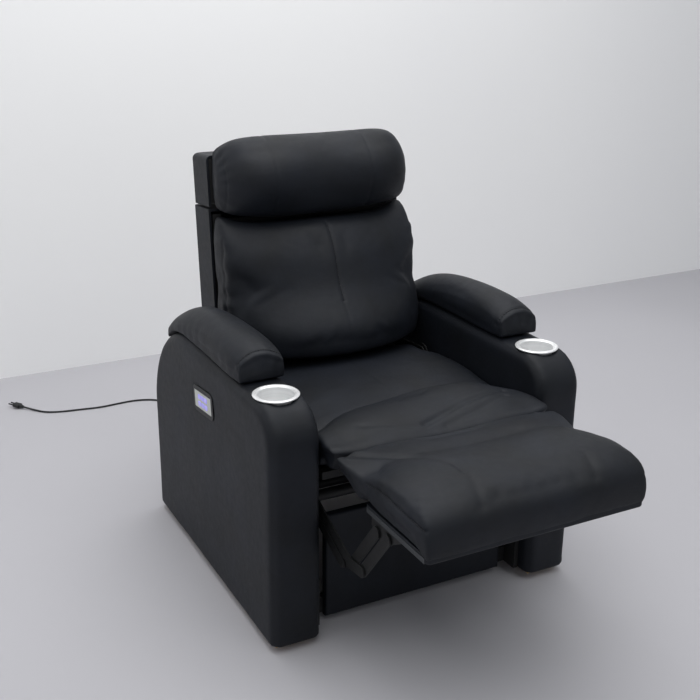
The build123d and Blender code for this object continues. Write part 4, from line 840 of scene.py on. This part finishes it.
@dataclass
class Footrest:
    """One cover over the calf pad and the bolster, whose front wraps the board's front edge."""

    body: str = "footrest"

    def seams(self) -> tuple[Seam, ...]:
        """The top's creases and the side faces' sewn edges."""
        found = [
            # the long crease that curves forward from the knee's left end
            crease((-0.262, -0.05), (-0.20, -0.112), (-0.145, -0.165), (-0.11, -0.235), (-0.112, -0.275),
                   depth=0.0046, width=0.010),
            crease((-0.113, -0.305), (-0.124, -0.34), (-0.133, -0.372), depth=0.0018, width=0.011),
            crease((0.149, -0.318), (0.141, -0.35), (0.134, -0.376), depth=0.0018, width=0.011),
        ]
        for side in SIDES:
            inward = Vector((-side, 0, 0))
            edge = [at(side * 0.25, -b, 0.468 + 0.012 * math.sin(math.pi * (b - 0.16) / 0.22)) for b in
                    (0.165, 0.2, 0.25, 0.3, 0.35, 0.38)]
            found.append(drop_seam(edge, inward, 0.06, depth=0.0022, width=0.004, pucker=0.0012, pitch=0.04,
                                   reach=0.014, stitched=True))
            corner = [at(side * 0.25, -0.165, z) for z in (0.43, 0.45, 0.468)]
            found.append(drop_seam(corner, inward, 0.06, depth=0.002, width=0.005))
        return tuple(found)

    def pushes(self) -> tuple[Push, ...]:
        """The front edge over the board, the knee, the plump right corner and the two flanks."""
        return (
            Push(at(0, -0.392, 0.42), Vector((WIDE, 0.028, 0.03)), Vector((0, -0.001, -0.019))),
            Push(at(0, -0.052, 0.474), Vector((WIDE, 0.022, 0.018)), Vector((0, 0.010, 0.008))),
            Push(at(0, -0.055, 0.41), Vector((WIDE, 0.055, 0.035)), Vector((0, -0.004, 0.016))),
            Push(at(0.2, -0.33, 0.5), Vector((0.08, 0.06, 0.06)), Vector((0.004, -0.002, 0.006))),
            *(Push(at(x, -0.07, 0.47), Vector((0.05, 0.07, 0.03)), Vector((x * 0.07, 0.006, 0.014)))
              for x in FLANKS),
            *(Push(at(x, -0.09, 0.425), Vector((0.07, 0.07, 0.035)), Vector((x * 0.03, 0, 0.03)))
              for x in FLANKS),
            *(Push(at(x, -0.26, 0.45), Vector((0.03, 0.16, 0.06)), Vector((x * 0.03, 0, 0)))
              for x in FLANKS),
        )

    def bands(self) -> None:
        """Lays the thin edge bands along the board's two sides."""
        thick, high, inset, lift = 0.0024, 0.011, 0.02, 0.007
        board = points_of(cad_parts["footrest_board"])
        low, top = board.min(0), board.max(0)
        bm = bmesh.new()
        for x in (low[0], top[0]):
            band = bmesh.ops.create_cube(bm, size=1.0)["verts"]
            bmesh.ops.scale(bm, vec=(thick, top[1] - low[1] - inset, high), verts=band)
            bmesh.ops.translate(bm, vec=(x, (low[1] + top[1]) / 2, low[2] + lift), verts=band)
        dress(object_from(bm, "board_edge_bands", False), Finish.BAND, self.body)

    def build(self) -> None:
        """Builds the footrest's cover and its board's bands."""
        self.bands()
        Cover("footrest_cushion", self.body, "footrest_leather", self.seams(), rounding=5, shrink=0.004,
              swell=0.008, uneven=0.0018, uneven_size=0.13, fill=0.75, seed=11.0, with_nodes=("calf_pad",),
              pushes=self.pushes(), limit=SEAT_HALF).build()


@dataclass
class Back:
    """The back's cushion with its centre seam and gathered sides, and the head bolster."""

    def cushion(self) -> None:
        """Builds the back's cushion."""
        seams = [
            drop_seam([at(0.0, 0.45, z) for z in (0.64, 0.7, 0.76, 0.82)], REARWARD, 0.3, depth=0.0022,
                      width=0.005, stitched=True),
            drop_seam([at(0.0, 0.45, z) for z in (0.52, 0.6, 0.64)], REARWARD, 0.3, depth=0.0009,
                      width=0.005),
        ]
        for side in SIDES:
            rim = [at(side * 0.262, 0.56 + (z - 0.5) * 0.1, z) for z in (0.5, 0.6, 0.7, 0.79)]
            seams.append(drop_seam(rim, Vector((-side, 0, 0)), 0.05, depth=0.0015, width=0.007,
                                   pucker=0.0036, pitch=0.046, reach=0.03))
        plump = [
            # the middle, then the top edge and the roll below the bolster
            Push(at(0, 0.5, 0.70), Vector((0.3, 0.2, 0.1)), Vector((0, -0.010, 0))),
            Push(at(0, 0.6, 0.815), Vector((WIDE, 0.06, 0.03)), Vector((0, 0.002, 0.015))),
            Push(at(0, 0.5, 0.835), Vector((WIDE, 0.14, 0.06)), Vector((0, -0.034, 0.010))),
        ]
        for side in SIDES:
            # the raised top corner, and the side drawn in beside the arm
            plump.append(Push(at(side * 0.27, 0.62, 0.812), Vector((0.06, 0.06, 0.05)),
                              Vector((0, 0.010, 0.024))))
            plump.append(Push(at(side * 0.28, 0.44, 0.58), Vector((0.05, 0.08, 0.12)),
                              Vector((side * -0.014, 0.016, 0))))
        Cover("back_cushion", "back", "back_leather", tuple(seams), voxel=0.007, rounding=18, shrink=0.005,
              swell=0.012, uneven=0.0016, uneven_size=0.2, fill=0.75, seed=13.0, pushes=tuple(plump),
              limit=SEAT_HALF).build()

    def bolster(self) -> None:
        """Builds the head bolster, with two ring seams and gathered ends."""
        middle = at(0, 0.615, 0.935)
        seams = [
            ring_seam(-0.142, middle, -60, 110, depth=0.0011, width=0.005),
            ring_seam(0.118, middle, -60, 110, depth=0.0009, width=0.005),
        ]
        # the belly that sags over the back's cushion, and the rounded top corners
        pushes = [Push(at(-0.03, 0.55, 0.845), Vector((0.22, 0.09, 0.04)), Vector((0, -0.008, -0.013)))]
        for side in SIDES:
            seams.append(ring_seam(side * 0.25, middle, -95, 140, depth=0.001, width=0.004, pucker=0.0016,
                                   pitch=0.03, reach=0.018))
            pushes.append(Push(at(side * 0.27, 0.6, 1.03), Vector((0.045, 0.1, 0.05)),
                               Vector((side * -0.008, 0.004, -0.014))))
        Cover("headrest_bolster", "headrest", "head_leather", tuple(seams), rounding=8, shrink=0.007,
              swell=0.009, uneven=0.0012, uneven_size=0.18, fill=0.8, seed=15.0, pushes=tuple(pushes),
              limit=0.268).build()

    def build(self) -> None:
        """Builds the back's and the headrest's soft pieces."""
        self.cushion()
        self.bolster()


@dataclass
class Hardware:
    """Finishes for the CAD nodes that show as they are."""

    looks: dict[Finish, tuple[str, ...]] = field(default_factory=lambda: {
        Finish.LEATHER: ("front_panel", "rear_panel", "footrest_board", "back_shell", "headrest_shell"),
        Finish.STEEL: (
            "side_plates", "mount_tubes", "mechanism_bolts", "drive_tube", "drive_links", "drive_rivets",
            "guide_links", "guide_rivets", "lift_links", "outer_links", "bracket_rivets",
            "footrest_brackets", "lift_rod", "back_rod", "headrest_rod", "back_hinge_brackets",
            "back_pivot_bolts", "headrest_hinges", "headrest_pins", "seat_springs", "back_springs",
        ),
        Finish.PLY: ("arm_frame_left", "arm_frame_right"),
        Finish.STAINED: ("base_rails", "seat_frame", "back_frame", "headrest_frame"),
        Finish.CUP: ("cup_holder_left", "cup_holder_right"),
        Finish.BLACK: ("control_bezel", "glides", "lift_motor", "back_motor", "headrest_motor",
                       "power_supply", "mains_plug"),
        Finish.PALE: ("control_face",),
        Finish.BUTTON: ("button_footrest_out", "button_footrest_in", "button_back_down", "button_back_up",
                        "button_head_out", "button_head_in"),
        Finish.RUBBER: ("cord_gland", "mains_cord"),
    })

    def build(self) -> None:
        """Dresses the nodes."""
        for finish, names in self.looks.items():
            for name in names:
                dress(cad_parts[name], finish)
        for name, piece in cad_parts.items():
            if not piece.data.materials:
                dress(piece, Finish.LEATHER)


# ------------------------------------------------------------------ room, camera and light
@dataclass
class Studio:
    """A pale floor and backdrop, soft lamps, and the camera where the photographer stood."""

    eye: Vector = field(default_factory=lambda: Vector((-1.1809, -1.826 + ARM_FRONT, 1.4427)))
    yaw: float = 27.78
    pitch: float = 20.05
    roll: float = 0.63
    lens: float = 55.2

    def camera(self) -> None:
        """Makes the camera."""
        yaw, pitch, roll = (math.radians(a) for a in (self.yaw, self.pitch, self.roll))
        ahead = Vector((math.sin(yaw) * math.cos(pitch), math.cos(yaw) * math.cos(pitch), -math.sin(pitch)))
        right = Vector((math.cos(yaw), -math.sin(yaw), 0))
        up = right.cross(ahead)
        across = right * math.cos(roll) + up * math.sin(roll)
        upright = up * math.cos(roll) - right * math.sin(roll)
        data = bpy.data.cameras.new("camera")
        data.lens, data.sensor_width = self.lens, 36.0
        holder = bpy.data.objects.new("camera", data)
        turn = Matrix((across, upright, -ahead)).transposed().to_4x4()
        holder.matrix_world = Matrix.Translation(self.eye) @ turn
        bpy.context.scene.collection.objects.link(holder)
        bpy.context.scene.camera = holder

    def surface(self, name: str, low: str, high: str) -> bpy.types.Material:
        """A matt room surface.

        Args:
            name: the material's name.
            low: its darker sRGB hex colour.
            high: its lighter one.

        Returns:
            The material.
        """
        material, tree, shader = shader_of(name, Roughness=0.8)
        place = add_node(tree, "ShaderNodeTexCoord").outputs["Object"]
        cloud = add_node(tree, "ShaderNodeTexNoise", {"Scale": 0.6, "Detail": 2.0}, {"Vector": place})
        tree.links.new(ramp(tree, cloud.outputs["Fac"], ((0.3, low), (0.7, high))),
                       shader.inputs["Base Color"])
        return material

    def room(self, size: float = 7.0, wall_back: float = 1.75) -> None:
        """Makes the floor and the wall behind.

        Args:
            size: half the side of each.
            wall_back: Y of the wall.
        """
        bm = bmesh.new()
        bmesh.ops.create_grid(bm, x_segments=2, y_segments=2, size=size)
        floor = object_from(bm, "floor", False)
        floor.data.materials.append(self.surface("floor_paint", "b6b5b9", "bcbbbf"))
        bm = bmesh.new()
        bmesh.ops.create_grid(bm, x_segments=2, y_segments=2, size=size)
        bmesh.ops.rotate(bm, verts=bm.verts, matrix=Matrix.Rotation(math.radians(90), 3, "X"))
        bmesh.ops.translate(bm, verts=bm.verts, vec=(0, wall_back, 6.9))
        wall = object_from(bm, "wall", False)
        wall.data.materials.append(self.surface("wall_paint", "f7f7f7", "fafaf9"))

    def lamp(self, name: str, place: Vector, target: Vector, size: float, power: float) -> None:
        """Makes a soft area lamp.

        Args:
            name: its name.
            place: where it hangs.
            target: what it points at.
            size: its side.
            power: its power in watts.
        """
        data = bpy.data.lights.new(name, "AREA")
        data.size, data.energy = size, power
        holder = bpy.data.objects.new(name, data)
        holder.location = place
        holder.rotation_euler = (target - place).to_track_quat("-Z", "Y").to_euler()
        bpy.context.scene.collection.objects.link(holder)

    def light(self) -> None:
        """Makes the lamps and the even world."""
        world = bpy.data.worlds.new("world")
        bpy.context.scene.world = world
        world.use_nodes = True
        sky = world.node_tree.nodes["Background"].inputs
        sky["Color"].default_value = linear("eceff5")
        sky["Strength"].default_value = 0.43
        seat = at(0, 0.3, 0.5)
        self.lamp("ceiling", Vector((0.0, -0.9, 3.4)), seat, 4.0, 74.0)
        self.lamp("side_window", Vector((-3.2, 0.2, 2.4)), seat, 2.6, 14.0)
        self.lamp("wall_wash", Vector((0.3, 1.15, 3.2)), Vector((0.3, 1.75, 0.9)), 2.6, 40.0)
        bpy.context.scene.view_settings.view_transform = "Standard"

    def build(self) -> None:
        """Builds the studio."""
        self.camera()
        self.room()
        self.light()


def main() -> None:
    """Builds everything in order."""
    Studio().build()
    MainsCord().build()
    Hardware().build()
    for side, hand in ((-1, "left"), (1, "right")):
        Arm(side, hand).build()
    Seat().build()
    Footrest().build()
    Back().build()
    log.info("sizes kept")


if __name__ == "__main__":
    main()
